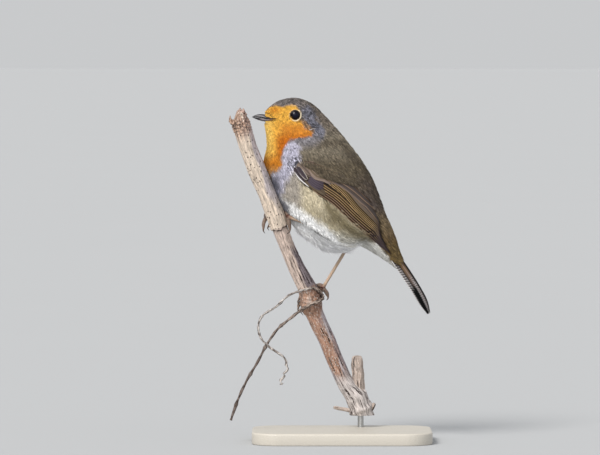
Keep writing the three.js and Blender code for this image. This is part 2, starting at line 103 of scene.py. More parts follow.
# Tail sections: ridge (x, z), outer edge (x, z), half width.
TAIL = np.array([
    [23.2, 102.5, 20.0, 99.0, 3.6], [28.7, 94.0, 25.0, 91.6, 5.0], [34.0, 86.2, 30.0, 84.2, 6.2],
    [39.0, 78.3, 35.0, 76.6, 7.0], [42.9, 70.9, 39.0, 69.7, 7.2], [44.4, 64.6, 43.2, 64.0, 4.6],
])

# Stem sections: height, x of the axis, radius.
STEM = np.array([
    [8.0, 12.4, 5.4], [14.0, 9.9, 5.4], [22.4, 7.0, 5.7], [27.0, 2.9, 4.5], [30.8, 0.6, 4.1],
    [40.0, -3.4, 4.1], [50.7, -7.6, 4.2], [58.3, -11.3, 4.3], [64.3, -13.9, 4.4],
    [66.5, -15.0, 5.3], [70.5, -15.6, 5.7], [74.5, -16.6, 5.2], [77.5, -17.7, 4.7], [87.0, -22.8, 4.1],
    [96.1, -26.8, 3.7], [107.8, -31.4, 3.8], [108.6, -31.7, 4.6], [114.7, -33.7, 4.6], [123.8, -37.2, 4.3],
    [136.4, -42.6, 4.6], [147.5, -46.8, 4.3], [158.0, -49.9, 4.5], [164.5, -52.3, 4.3],
])
STEM_LEAN = (20.84, -0.2394)  # y of the axis at height 0, and its change per millimetre of height
STEM_BOTTOM = 12.0
STEM_TOP = 164.5
STEM_LEDGE = {"height": 108.2, "below": 3.8, "above": 4.62}  # where the torn skin ends, and the radii there

# Feet: the joint by the stem, the heel (x, y, z), and each digit's points [rise, degrees, distance].
LEGS = {
    "left": {
        "joint": (111.1, -14, 6.2),
        "heel": (-4.0, -12.6, 104.6),
        "toes": {
            1: [[-0.8, -16, 6.1], [-3.0, -22, 5.9], [-5.4, -28, 5.6]],
            2: [[0.9, 2, 6.0], [3.0, 50, 5.8], [4.4, 105, 5.8], [4.2, 142, 5.8]],
            3: [[0.4, 4, 6.0], [1.7, 55, 5.8], [2.2, 110, 5.8], [2.0, 148, 6.0], [0.6, 170, 7.0],
                [-1.1, 180, 7.6]],
            4: [[-0.8, 2, 6.0], [-1.4, 50, 5.8], [-1.7, 105, 5.8], [-1.6, 148, 5.8]],
        },
        "claws": {
            1: [[-5.8, -31, 5.5], [-6.6, -42, 5.4], [-6.7, -58, 5.2]],
            2: [[4.0, 147, 5.8], [3.4, 158, 6.0], [2.3, 167, 5.6]],
            3: [[-1.5, 181, 7.8], [-2.4, 184, 8.1], [-3.7, 187, 7.8]],
            4: [[-1.9, 153, 5.8], [-2.4, 165, 6.0], [-3.4, 177, 5.4]],
        },
    },
    "right": {
        "joint": (74.0, 6, 7.5),
        "heel": (3.1, 7.2, 97.6),
        "toes": {
            1: [[-0.9, 5, 7.9], [-2.8, 6, 8.7], [-4.7, 5, 9.1]],
            2: [[0.9, 18, 7.3], [1.0, 50, 6.7], [0.2, 100, 6.7], [-1.4, 148, 6.7]],
            3: [[0.0, 20, 7.3], [-1.0, 50, 6.8], [-2.2, 100, 6.8], [-3.6, 148, 6.8], [-4.6, 170, 7.0]],
            4: [[-0.9, 18, 7.3], [-2.9, 50, 6.8], [-4.9, 100, 6.7], [-6.6, 148, 6.5]],
        },
        "claws": {
            1: [[-5.1, 4, 9.1], [-5.8, 0, 8.8], [-6.0, -6, 8.0]],
            2: [[-1.7, 153, 6.7], [-2.4, 165, 7.0], [-3.5, 176, 6.6]],
            3: [[-4.9, 173, 7.0], [-5.9, 179, 7.3], [-7.3, 184, 6.6]],
            4: [[-7.0, 152, 6.4], [-7.8, 164, 6.3], [-9.2, 172, 5.6]],
        },
    },
}
TARSUS_RADIUS = 0.858
TOE_RADIUS = 0.72
CLAW_RADIUS = 0.45

# The vine's points: its free curl and its lower end as (x, y, z), the hairpin as [height, degrees].
VINE_CURL = [
    [-30.6, -5.6, 28.8], [-29.6, -5.4, 32.6], [-27.6, -5.2, 37.0], [-29.0, -5.0, 42.4], [-36.2, -4.6, 47.6],
    [-40.6, -4.4, 52.4], [-41.8, -4.2, 58.6], [-39.4, -4.1, 63.6], [-33.1, -4.0, 67.7], [-26.8, -3.8, 73.3],
]
VINE_HAIRPIN = np.array([
    [77.9, -122], [77.7, -81], [77.0, -55], [74.6, -31], [71.6, -16], [69.9, -22], [70.2, -51],
    [70.5, -87], [69.9, -117], [68.7, -146],
])
VINE_LOWER = [
    [-26.6, -0.6, 61.2], [-32.4, -1.8, 56.2], [-37.6, -2.6, 48.8], [-42.1, -3.2, 40.2], [-47.2, -3.8, 31.6],
    [-51.8, -4.4, 21.8], [-55.6, -4.8, 11.0],
]
VINE_RADIUS = 0.6
VINE_HUG = 1.0  # distance of its middle from the stem's bark

BASE = {"length": 90.0, "depth": 60.0, "thick": 6.0, "corner": 14.0, "ease": 0.9}
ROD = {"radius": 1.5, "low": 3.0, "high": 18.0}


# ---------------------------------------------------------------- numbers
def mix(a, b, t):
    """a at t = 0, b at t = 1."""
    return a + (b - a) * t


def ramp(x, low, high):
    """0 below low, 1 above high, and the smooth step 3t^2 - 2t^3 between."""
    t = np.clip((x - low) / (high - low), 0, 1)
    return t * t * (3 - 2 * t)


def bell(x, middle, width):
    """1 at the middle, falling off as exp(-t^2) of the distance in widths."""
    return np.exp(-((x - middle) / width) ** 2)


def size_of(v):
    """The length of vectors."""
    return np.linalg.norm(v, axis=-1)


def unit(v):
    """v divided by its length."""
    return v / np.maximum(size_of(v)[..., None], 1e-9)


def pack(*parts):
    """Arrays spread to one shape and put side by side on a last axis."""
    return np.stack(np.broadcast_arrays(*parts), axis=-1)


def turns(count):
    """Even angles round a circle."""
    return np.arange(count) * 2 * PI / count


def shares(count):
    """A column of even steps from 0 to 1."""
    return np.linspace(0, 1, count)[:, None]


def blunt_end(v, power):
    """Width of a feather along it, (1 - v^power)^(1/2), which rounds it off at the tip."""
    return np.sqrt(np.maximum(1 - v ** power, 0.0004))


def smooth(rows, k, t):
    """Catmull-Rom value of column k of rows at stations t."""
    last = len(rows) - 1
    t = np.asarray(t, float)
    i = np.clip(np.floor(t).astype(int), 0, last - 1)
    f = t - i
    a, b, c, d = (rows[np.clip(i + j, 0, last), k] for j in (-1, 0, 1, 2))
    bend = (2 * a - 5 * b + 4 * c - d) * f ** 2 + (3 * b - a - 3 * c + d) * f ** 3
    return 0.5 * (2 * b + (c - a) * f + bend)


def track(rows, t, columns=None):
    """Catmull-Rom points of rows at stations t, from some or all of the columns."""
    return pack(*(smooth(rows, k, t) for k in columns or range(rows.shape[1])))


def run_of(path):
    """Length run along a path at each of its points, as a column."""
    return np.concatenate([[0], size_of(np.diff(path, axis=0)).cumsum()])[:, None]


def ripple(points, size, seed):
    """Soft noise from about -1 to 1: the mean of eight sine waves in random directions, about size apart."""
    waves = 8
    draw = np.random.default_rng(seed)
    directions = unit(draw.normal(size=(waves, points.shape[-1]))) * draw.uniform(0.6, 1.5, (waves, 1))
    phases = draw.uniform(0, 2 * PI, waves)
    return np.sin(points @ directions.T * (2 * PI / size) + phases).mean(axis=-1) * 1.6


def inside(x, z, outline):
    """Distance of side-view points to a closed outline, positive inside: the shortest way to its
    segments, with the sign from how many segments a level line to the right crosses."""
    a = np.asarray(outline, float)
    b = np.roll(a, -1, axis=0)
    p = np.stack([np.ravel(x), np.ravel(z)], axis=-1)[:, None, :]
    along = b - a
    t = np.clip(((p - a) * along).sum(-1) / (along ** 2).sum(-1), 0, 1)
    distance = size_of(p - (a + along * t[..., None])).min(axis=1)
    high = (a[:, 1] > p[..., 1]) != (b[:, 1] > p[..., 1])
    with np.errstate(divide="ignore", invalid="ignore"):
        reach = a[:, 0] + (p[..., 1] - a[:, 1]) / (b[:, 1] - a[:, 1]) * along[:, 0]
    crossed = (high & (p[..., 0] < reach)).sum(axis=1) % 2 == 1
    return np.where(crossed, distance, -distance).reshape(np.shape(x))


# ---------------------------------------------------------------- colours
def tone(red, green, blue):
    """A colour of 0 to 255 as it looks in full light, as the surface's own linear colour."""
    return (np.array([red, green, blue]) / 255.0) ** 2.2 / LIGHT


def paint(colours, colour, share):
    """Colours moved towards one colour by a share."""
    return colours + (colour - colours) * np.asarray(share)[..., None]


def lay(colours, *layers):
    """Tones laid over colours in turn, each as (red, green, blue, share)."""
    for red, green, blue, share in layers:
        colours = paint(colours, tone(red, green, blue), share)
    return colours


# ---------------------------------------------------------------- body surface
def crease_height(u):
    """Height of the flank's fold in a section, as a share from belly to back: an arch over its length."""
    share = np.clip((u - FLANK_FOLD["first"]) / (FLANK_FOLD["last"] - FLANK_FOLD["first"]), 0, 1)
    return FLANK_FOLD["height"] * np.sin(PI * share) ** 0.8


def half_width(u, c):
    """Half width of section u at height c, -1 at the belly to 1 at the back: an ellipse, fuller low down,
    set back below the fold where the flank feathers end, and between the eye and the bill."""
    fold = FLANK_FOLD
    height = (c + 1) / 2
    here = ramp(u, fold["first"], fold["first"] + 0.7) * ramp(u, fold["last"], fold["last"] - 0.7)
    crease = crease_height(u)
    below = 1 - ramp(height, crease - 0.05, crease + 0.04)
    lore = LORE["depth"] * (1 - ramp(u, 0.6, LORE["last"])) * bell(height, LORE["height"], LORE["spread"])
    full = smooth(SECTIONS, 4, u) * (1 - BELLY_FULLNESS * c)
    return full * (1 - fold["depth"] * here * below) * (1 - lore)


def body(u, angle):
    """The body's point: on the line from belly to back at the share (1 + cos) / 2, out by the half width
    times sin."""
    c = np.cos(angle)
    h = (1 + c) / 2
    x = mix(smooth(SECTIONS, 2, u), smooth(SECTIONS, 0, u), h)
    z = mix(smooth(SECTIONS, 3, u), smooth(SECTIONS, 1, u), h)
    return pack(x, half_width(u, c) * np.sin(angle), z)


def surface(u, angle):
    """Point, outward normal, and the vectors that one unit of u and one radian carry it, by differences."""
    e = 0.02
    along = (body(u + e, angle) - body(u - e, angle)) / (2 * e)
    across = (body(u, angle + e) - body(u, angle - e)) / (2 * e)
    return body(u, angle), unit(np.cross(along, across)), along, across


# The flank map's grid: its lowest corner, the size and number of its cells, how many times it is spread
# past the outline, and how much of the height each time keeps.
FLANK_MAP = {"x": -46.0, "z": 62.0, "step": 0.4, "columns": 210, "rows": 290, "times": 70, "keeps": 0.985}


def make_flank_map():
    """The body's half width seen from the side, on a grid: the widest point that falls in each cell, spread
    outwards past the outline by the mean of the neighbours, then softened once."""
    u, angle = np.meshgrid(np.linspace(0, TAIL_END, 1500), np.linspace(0.01, PI - 0.01, 500), indexing="ij")
    point = body(u, angle).reshape(-1, 3)
    i = ((point[:, 0] - FLANK_MAP["x"]) / FLANK_MAP["step"]).astype(int)
    j = ((point[:, 2] - FLANK_MAP["z"]) / FLANK_MAP["step"]).astype(int)
    wide = np.full((FLANK_MAP["columns"], FLANK_MAP["rows"]), -1.0)
    np.maximum.at(wide, (i, j), point[:, 1])
    known = (wide >= 0).astype(float)
    wide = wide * known

    def around(grid):
        """The sum of the four neighbours of each cell."""
        padded = np.pad(grid, 1, mode="edge")
        return padded[:-2, 1:-1] + padded[2:, 1:-1] + padded[1:-1, :-2] + padded[1:-1, 2:]

    for _ in range(FLANK_MAP["times"]):
        weight = around(known)
        spread = around(wide * known) / np.maximum(weight, 1e-9)
        wide = np.where(known > 0, wide, spread * FLANK_MAP["keeps"])
        known = np.maximum(known, (weight > 0).astype(float))
    return (wide * 4 + around(wide)) / 8


FLANK = make_flank_map()


def flank(x, z):
    """Half width of the body at a side-view point: the flank map read between its four nearest cells."""
    i = np.clip((x - FLANK_MAP["x"]) / FLANK_MAP["step"] - 0.5, 0, FLANK_MAP["columns"] - 1.001)
    j = np.clip((z - FLANK_MAP["z"]) / FLANK_MAP["step"] - 0.5, 0, FLANK_MAP["rows"] - 1.001)
    i0, j0 = i.astype(int), j.astype(int)
    low = mix(FLANK[i0, j0], FLANK[i0 + 1, j0], i - i0)
    high = mix(FLANK[i0, j0 + 1], FLANK[i0 + 1, j0 + 1], i - i0)
    return mix(low, high, j - j0)


WING_SHARES = np.linspace(0, len(WING_LOWER) - 1, 40)
WING_OUTLINE = np.concatenate([track(WING_LOWER, WING_SHARES), track(WING_UPPER, WING_SHARES[::-1])])

# The small feathers of the wing's wrist (x, z).
WRIST = [
    [-24.4, 139.8], [-24.2, 136.4], [-22.6, 133.4], [-20.3, 130.6], [-16.4, 127.4], [-13, 130], [-19, 139.5],
    [-21.5, 141],
]
# Where short feathers cover the top of the wing (x, z).
SCAPULARS = [
    [-26, 150], [-24, 143.5], [-19.3, 139.8], [-13.8, 136.8], [-8.8, 132.8], [-3, 130.4], [3, 129.4],
    [8.9, 128], [11.4, 125.6], [14, 123.5], [20, 118], [16, 132], [0, 150],
]

# ---------------------------------------------------------------- markings and painted light, seen from the side (x, z)
BIB = [
    [-60, 165.5], [-38, 165.8], [-36, 167.5], [-32.5, 168.3], [-28.5, 167.8], [-26, 168.6], [-23.4, 168.3],
    [-21.6, 167.0], [-20.9, 165], [-20.7, 161], [-19.6, 158.6], [-17.4, 156.2], [-14.5, 154.4], [-15, 153],
    [-18.5, 152], [-21, 152], [-25.5, 151], [-28, 148], [-29.5, 145], [-30.5, 141], [-29.5, 138.5],
    [-31, 136], [-32.5, 134.5], [-35, 134], [-35.5, 130], [-38, 127.5], [-60, 127],
]
UNDERSIDE = [
    [-60, 134], [-36, 134], [-31, 136], [-29.5, 145], [-28, 149], [-24.5, 149], [-24, 143], [-23, 138],
    [-16, 130], [-5, 122], [4, 113], [12, 104.5], [18, 97.5], [23, 91], [26.5, 85], [29, 60], [-60, 60],
]
BREAST_SIDE = [
    [-29.5, 150.5], [-23, 149.5], [-21, 147], [-20.5, 141], [-22, 137], [-25, 133], [-28, 128], [-30, 121],
    [-60, 116], [-60, 134], [-33, 134.5], [-30, 138], [-30, 144],
]
WHITE_BELLY = [
    [-33, 124], [-30, 121.5], [-24, 118.5], [-17, 114], [-10, 109.5], [-3, 105], [3, 102.5], [9, 102.6],
    [13, 102.2], [18, 98], [23.5, 91.5], [27.5, 85.5], [30, 60], [-60, 60], [-60, 112],
]
SHADED_VENT = [[-4, 105], [2, 106.5], [10, 106], [11, 102], [6, 99], [0, 98.5]]
BLUE_PATCH = [
    [-20.5, 167], [-17, 168.5], [-13.5, 166], [-12, 161], [-8, 156], [-9, 151], [-13, 153], [-16.5, 156],
    [-19, 161],
]
RUSTY_CHEEK = [
    [-20.9, 163], [-18.5, 162.0], [-15.5, 158], [-12.5, 155], [-14, 153.8], [-18, 156], [-21, 159],
]
SHADED_FRONT = [
    [-36, 133], [-31.5, 133], [-30.2, 126], [-28.5, 121], [-25.5, 117.5], [-25, 112], [-40, 112],
]
SHADED_FLANK = [[-9, 121], [-2, 116], [6, 108.5], [16, 101.5], [15, 99.5], [8, 102], [0, 107], [-7, 112]]
# A thin dark line of painted shade in the flank's fold.
FOLD_SHADOW_LINE = [
    [-26, 111.4], [-21, 110.4], [-17, 109.0], [-11.6, 104.3], [-6, 101.2], [-11.6, 103.9], [-17, 108.5],
    [-21, 109.9],
]


def markings(point):
    """The robin's colours at points of the body in millimetres: soft-edged areas laid over olive brown, and
    the orange bib, made of its own areas, laid over those. Some are painted light: painted shade at the
    vent, on the flank under the wing, along the edge of the feathers over the wing, in the flank's fold and
    on the belly's front beside the stem, and a painted highlight on the front of the breast."""
    x, z = point[..., 0], point[..., 2]
    fray = ripple(point, 2.6, 21) * 0.7 + ripple(point, 6.0, 22) * 0.8

    def area(outline, low, high):
        """The share of an outlined area with a frayed edge."""
        return ramp(inside(x, z, outline) + fray, low, high)

    over_wing = inside(x, z, SCAPULARS)
    # A darker band of painted shade along the lower edge of the feathers that cover the wing.
    wing_edge_shadow = ramp(over_wing, 5, 1) * ramp(over_wing, -2, 0) * ramp(x, -20, -14)
    under = area(UNDERSIDE, -1.2, 1.2)
    to_bib = inside(x, z, BIB)
    bib_rim = ramp(to_bib, -7.5, -2.0) * ramp(x, -2, -9)
    white = inside(x, z, WHITE_BELLY) + fray
    white_edge = ramp(white, -7, -1.5) * ramp(white, 3, -0.5) * ramp(x, -22, -12) * under
    belly = ramp(white, -1.6, 2.2)
    colours = lay(
        tone(130, 121, 106),
        (101, 91, 75, ramp(z, 146, 137)),
        (97, 85, 79, ramp(x, 4, 12) * ramp(z, 136, 126)),
        (132, 114, 87, ramp(z, 119, 109)),
        # Painted shade along the edge of the feathers over the wing.
        (84, 74, 61, 0.6 * wing_edge_shadow),
        (106, 86, 58, ramp(z, 107, 99)),
        (120, 110, 101, ramp(z, 150, 162)),
        (108, 90, 58, ramp(x, 20, 25) * ramp(z, 103, 98)),
        (220, 208, 180, under),
        (178, 170, 160, under * ramp(x, -17, -23)),
        (138, 136, 146, bib_rim * (0.75 - 0.45 * ramp(z, 160, 168))),
        (116, 118, 134, 0.8 * area(BLUE_PATCH, -1.0, 1.5)),
        (188, 186, 204, area(BREAST_SIDE, -1.5, 2.0)),
        (190, 178, 150, 0.8 * white_edge),
        (272, 272, 272, belly),
        (236, 235, 230, belly * ramp(x, 4, 11)),
        # Painted shade: at the vent, on the flank under the wing's lower edge and on the belly's front
        # beside the stem.
        (196, 190, 172, 0.7 * area(SHADED_VENT, -1.5, 1.5)),
        (126, 114, 84, 0.85 * area(SHADED_FLANK, -2.5, 2.0)),
        (86, 86, 98, 0.9 * area(SHADED_FRONT, -1.0, 2.5)),
        # Painted shade in the flank's fold.
        (70, 62, 62, 0.85 * ramp(inside(x, z, FOLD_SHADOW_LINE), -0.7, 0.1)),
        (138, 104, 66, 0.8 * area(RUSTY_CHEEK, -0.6, 1.2)),
    )
    orange = lay(
        tone(246, 188, 78),
        (218, 142, 50, ramp(z, 162, 156) * ramp(x, -34, -27)),
        (200, 110, 6, ramp(z, 156, 150) * ramp(x, -35, -30)),
        (206, 129, 30, ramp(z, 146, 140)),
        # Paler orange on the front of the breast, towards the light: a painted highlight.
        (246, 204, 106, ramp(x, -32.5, -37.5) * ramp(z, 138, 149) * ramp(z, 162, 159)),
        (232, 146, 40, 0.7 * bell(x, -33.5, 2.6) * bell(z, 166, 1.8)),
        (166, 134, 92, 0.7 * ramp(z, 139, 134)),
        (132, 120, 98, ramp(z, 135, 130)),
    )
    return mix(colours, orange, ramp(to_bib + fray * 0.55, -0.8, 0.9)[..., None])


def unevenness(point):
    """How much neighbouring strands differ in lightness: little on the belly and the orange, most on the
    crown, behind the cheek and at the bend of the wing."""
    x, z = point[..., 0], point[..., 2]
    share = mix(mix(0.25, 0.36, ramp(z, 150, 156)), 0.5, ramp(z, 164, 167))
    areas = [(BLUE_PATCH, 0.5), (UNDERSIDE, 0.10), (BREAST_SIDE, 0.18), (WHITE_BELLY, 0.12), (BIB, 0.13)]
    for outline, value in areas:
        share = mix(share, value, ramp(inside(x, z, outline), -1, 1))
    return mix(share, 0.5, ramp(np.hypot(x + 22.5, z - 137.5), 6.0, 2.5))


# ---------------------------------------------------------------- mesh making
def ring_shell(rings, **values):
    """A closed shell over rings (ring, side, 3): quads between neighbouring rings, and a fan to the middle
    of each end ring, turned to face outwards, which they do when the volume summed over their corners as
    a . (b x c) is positive. Values go with the points, one for each point, ring or side, or one for all."""
    count, sides = rings.shape[:2]
    index = np.arange(count * sides).reshape(count, sides)
    beside = np.roll(index, -1, axis=1)
    quads = np.stack([index[:-1], index[1:], beside[1:], beside[:-1]], axis=-1).reshape(-1, 4)
    poles = np.full((2, sides), [[count * sides], [count * sides + 1]])
    fans = np.concatenate([
        np.stack([index[0], beside[0], poles[0]], axis=-1),
        np.stack([beside[-1], index[-1], poles[1]], axis=-1),
    ])

    def flat(array):
        """Values in point order, with the mean of each end ring for its pole."""
        array = np.broadcast_to(array, (count, sides, np.shape(array)[-1]))
        return np.concatenate([array.reshape(count * sides, -1), array[[0, -1]].mean(axis=1)])

    points = flat(rings)
    corners = np.concatenate([quads[:, [0, 1, 2]], quads[:, [0, 2, 3]], fans])
    a, b, c = (points[corners[:, k]] for k in range(3))
    if np.einsum("ij,ij->i", a, np.cross(b, c)).sum() < 0:
        quads, fans = quads[:, ::-1], fans[:, ::-1]
    return {"points": points, "quads": quads, "fans": fans, **{k: flat(v) for k, v in values.items()}}


def join(shells):
    """Several shells as one, with each shell's faces counted on from the last one's points."""
    starts = np.cumsum([0] + [len(s["points"]) for s in shells[:-1]])
    joined = {k: np.concatenate([s[k] for s in shells]) for k in shells[0] if k not in ("quads", "fans")}
    for kind in ("quads", "fans"):
        joined[kind] = np.concatenate([s[kind] + start for s, start in zip(shells, starts)])
    return joined


COLOUR_NAMES = ("plumage", "tint", "web", "dark", "fringe", "shaft")
NO_QUADS = np.zeros((0, 4), int)
NO_FANS = np.zeros((0, 3), int)


def make_piece(name, shell, material, replaces=(), even=True):
    """One mesh object from a shell, shaded smoothly where even. A colour of the shell becomes a colour
    attribute, whose fourth number is 1 unless given; OFBake becomes a UV map, and any other value a vector
    attribute."""
    quads, fans = shell["quads"], shell["fans"]
    corners = np.concatenate([quads.ravel(), fans.ravel()]).astype(np.int32)
    starts = np.concatenate([np.arange(len(quads)) * 4, len(quads) * 4 + np.arange(len(fans)) * 3])
    mesh = bpy.data.meshes.new(name)
    mesh.vertices.add(len(shell["points"]))
    mesh.vertices.foreach_set("co", (shell["points"] * MM).astype(np.float32).ravel())
    mesh.loops.add(len(corners))
    mesh.loops.foreach_set("vertex_index", corners)
    mesh.polygons.add(len(starts))
    mesh.polygons.foreach_set("loop_start", starts.astype(np.int32))
    mesh.update(calc_edges=True)
    mesh.polygons.foreach_set("use_smooth", np.full(len(starts), even))
    for key, value in shell.items():
        if key in ("points", "quads", "fans"):
            continue
        if key == "OFBake":
            data, kind, value = mesh.uv_layers.new(name=key).data, "uv", value[corners]
        elif key in COLOUR_NAMES:
            data, kind = mesh.attributes.new(key, "FLOAT_COLOR", "POINT").data, "color"
            value = np.hstack([value, np.ones((len(value), 4 - value.shape[1]))])
        else:
            data, kind = mesh.attributes.new(key, "FLOAT_VECTOR", "POINT").data, "vector"
        data.foreach_set(kind, value.astype(np.float32).ravel())
    mesh.materials.append(material)
    mesh.validate()
    obj = bpy.data.objects.new(name, mesh)
    bpy.context.scene.collection.objects.link(obj)
    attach(obj, "root")
    if replaces:
        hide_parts(*replaces)


def path_rings(points, radius):
    """A tube along a Catmull-Rom path: each ring is a circle square to the path, turned on from the last
    ring by the least turn. radius has a row for each ring and a column for each side. Also gives the places
    on the tube as if it were straight."""
    points = np.asarray(points, float)
    count, sides = radius.shape
    middle = track(points, np.linspace(0, len(points) - 1, count))
    ahead = unit(np.gradient(middle, axis=0))
    side = unit(np.cross(ahead[0], [0.3, 0.2, 0.9]))
    first = []
    for direction in ahead:
        side = unit(side - direction * (side @ direction))
        first.append(side)
    first = np.array(first)[:, None, :]
    second = np.cross(ahead[:, None, :], first)
    c, s = np.cos(turns(sides)), np.sin(turns(sides))
    wide = float(np.mean(radius))
    rings = middle[:, None, :] + (first * c[:, None] + second * s[:, None]) * radius[..., None]
    return rings, pack(c * wide, s * wide, run_of(middle))


# ---------------------------------------------------------------- materials
class Finish:
    """A material in the making: its shader, with fixed values by name (_ for a space), and the few kinds of
    node that the finishes here are made of."""

    def __init__(self, name, **fixed):
        """A new material whose shader's sockets hold the fixed values."""
        self.material = bpy.data.materials.new(name)
        self.material.use_nodes = True
        self.tree = self.material.node_tree
        self.shader = self.tree.nodes["Principled BSDF"]
        for key, value in fixed.items():
            self.shader.inputs[key.replace("_", " ")].default_value = value

    def node(self, kind, links, **settings):
        """A node's outputs, after its settings are made and its sockets linked to outputs or set."""
        node = self.tree.nodes.new("ShaderNode" + kind)
        for key, value in settings.items():
            setattr(node, key, value)
        for key, value in links.items():
            if isinstance(value, bpy.types.NodeSocket):
                self.tree.links.new(value, node.inputs[key])
            else:
                node.inputs[key].default_value = value
        return node.outputs

    def blend(self, share, first, second, way="MIX"):
        """Two colours mixed by a share; each may be a socket or a linear colour."""
        ends = [c if isinstance(c, bpy.types.NodeSocket) else (*map(float, c), 1.0) for c in (first, second)]
        return self.node("Mix", {0: share, 6: ends[0], 7: ends[1]}, data_type="RGBA", blend_type=way)[2]

    def step(self, value, low, high, start=0.0, end=1.0):
        """A smooth step of a value, from start at low to end at high."""
        links = {"Value": value, "From Min": low, "From Max": high, "To Min": start, "To Max": end}
        return self.node("MapRange", links, interpolation_type="SMOOTHSTEP")["Result"]

    def maths(self, operation, first, second=0.0):
        """One sum on two values."""
        return self.node("Math", {0: first, 1: second}, operation=operation)[0]

    def times(self, first, second):
        """Two values multiplied."""
        return self.maths("MULTIPLY", first, second)

    def read(self, attribute, output="Color"):
        """An attribute of the piece."""
        return self.node("Attribute", {}, attribute_name=attribute)[output]

    def places(self, attribute=None, stretch=(1, 1, 1)):
        """Object coordinates, or an attribute's places, each axis multiplied by stretch."""
        source = self.read(attribute, "Vector") if attribute else self.node("TexCoord", {})["Object"]
        return self.node("Mapping", {"Vector": source, "Scale": stretch})["Vector"]

    def clouds(self, where, scale, detail=4.0, rough=0.55):
        """Noise at places, from 0 to 1."""
        links = {"Vector": where, "Scale": scale, "Detail": detail, "Roughness": rough}
        return self.node("TexNoise", links)["Fac"]

    def shade(self, colour, value):
        """A colour multiplied by a value."""
        grey = self.node("CombineColor", {"Red": value, "Green": value, "Blue": value})["Color"]
        return self.blend(1.0, colour, grey, "MULTIPLY")

    def done(self, colour, height=None, depth=0.0, strength=1.0):
        """The material with its colour, and a relief of a height from 0 to 1, depth in metres."""
        self.tree.links.new(colour, self.shader.inputs["Base Color"])
        if height:
            links = {"Height": height, "Distance": depth, "Strength": strength}
            self.tree.links.new(self.node("Bump", links)["Normal"], self.shader.inputs["Normal"])
        return self.material


def plumage_material():
    """Soft contour feathers: the markings with a fine light and dark mottle, and a little sheen."""
    look = Finish("soft plumage", Roughness=0.75, Specular_IOR_Level=0.2, Sheen_Weight=0.08,
                  Sheen_Roughness=0.5)
    mottle = look.step(look.clouds(look.places(), 1100), 0.25, 0.75, 0.86, 1.12)
    return look.done(look.shade(look.read("plumage"), mottle))


def skin_material():
    """Bare skin under the coat: the markings darkened towards grey down, with fine pits."""
    look = Finish("skin under the coat", Roughness=0.8, Specular_IOR_Level=0.2)
    pits = look.clouds(look.places(), 1400)
    colour = look.blend(look.step(pits, 0.3, 0.8, 0.15, 0.45), look.read("plumage"), tone(70, 66, 66))
    return look.done(colour, pits, 0.0002, 0.6)


def vane_material():
    """Flight feathers: a web that is darker past the shaft, a paler fringe along the edge and fine slanting
    barbs, which stand apart as dark and white stripes where the web's fourth number falls below 1. The vane
    attribute holds millimetres: in from the edge, along the feather, and past the shaft."""
    look = Finish("flight feather vanes", Roughness=0.6, Specular_IOR_Level=0.1)
    parts = look.node("SeparateXYZ", {"Vector": look.read("vane", "Vector")})
    edge, along, past = parts["X"], parts["Y"], parts["Z"]
    wobble = look.times(look.clouds(look.places(), 900, 2.0), 0.16)
    fringe = look.step(look.maths("ADD", edge, wobble), 0.30, 0.46, 1.0, 0.0)
    web = look.blend(look.step(past, -0.1, 0.5), look.read("web"), look.read("dark"))
    off_shaft = look.maths("ABSOLUTE", past)
    rib = look.step(off_shaft, 0.10, 0.20, 1.0, 0.0)
    colour = look.blend(fringe, web, look.read("fringe"))
    colour = look.blend(look.times(rib, 0.7), colour, look.read("shaft"))
    slant = look.maths("ADD", look.times(off_shaft, 1.3), along)
    fine = look.maths("SINE", look.times(slant, 2 * PI / 0.9))
    streaks = look.clouds(look.places("vane", (2.2, 0.25, 0)), 1.0, 3.0)
    colour = look.shade(colour, look.times(look.step(fine, -1.0, 1.0, 0.92, 1.06),
                                           look.step(streaks, 0.25, 0.75, 0.82, 1.20)))
    apart = look.maths("SUBTRACT", 1.0, look.read("web", "Alpha"))
    wide = look.maths("SINE", look.times(slant, 2 * PI / 1.3))
    light = look.times(look.step(wide, 0.3, 0.8), apart)
    dark = look.times(look.step(wide, 0.2, -0.3), apart)
    colour = look.blend(light, colour, tone(232, 226, 226))
    colour = look.blend(look.times(dark, 0.9), colour, tone(16, 14, 15))
    return look.done(colour, look.maths("ADD", look.times(fine, 0.3), look.times(rib, 0.8)), 0.0001, 0.8)


def horn_material(name, rough, low, high):
    """Smooth horn: the tint in fine growth lines along the piece, from low to high times its lightness."""
    look = Finish(name, Roughness=rough, Specular_IOR_Level=0.35, Coat_Weight=0.1, Coat_Roughness=0.25)
    lines = look.clouds(look.places(stretch=(0.25, 1, 1)), 2200)
    colour = look.shade(look.read("tint"), look.step(lines, 0.3, 0.7, low, high))
    return look.done(colour, lines, 0.00004, 0.5)


def eye_material():
    """A wet dark eye: by the distance from its middle a black pupil and a clouded dark iris, both tinted
    blue as a painted sheen, and a brown-black rim, with a clear coat over them."""
    look = Finish("wet dark eye", Roughness=0.3, Specular_IOR_Level=0.12, Coat_Weight=0.35,
                  Coat_Roughness=0.22, Coat_IOR=1.35)
    radius = look.node("VectorMath", {0: look.read("disc", "Vector")}, operation="LENGTH")["Value"]
    # The blue in the iris and pupil is a painted sheen.
    iris = look.blend(look.clouds(look.places(), 3000), tone(10, 9, 18), tone(20, 16, 24))
    colour = look.blend(look.step(radius, 1.25, 1.5), tone(8, 12, 34), iris)
    return look.done(look.blend(look.step(radius, 2.2, 2.5), colour, tone(10, 7, 6)))


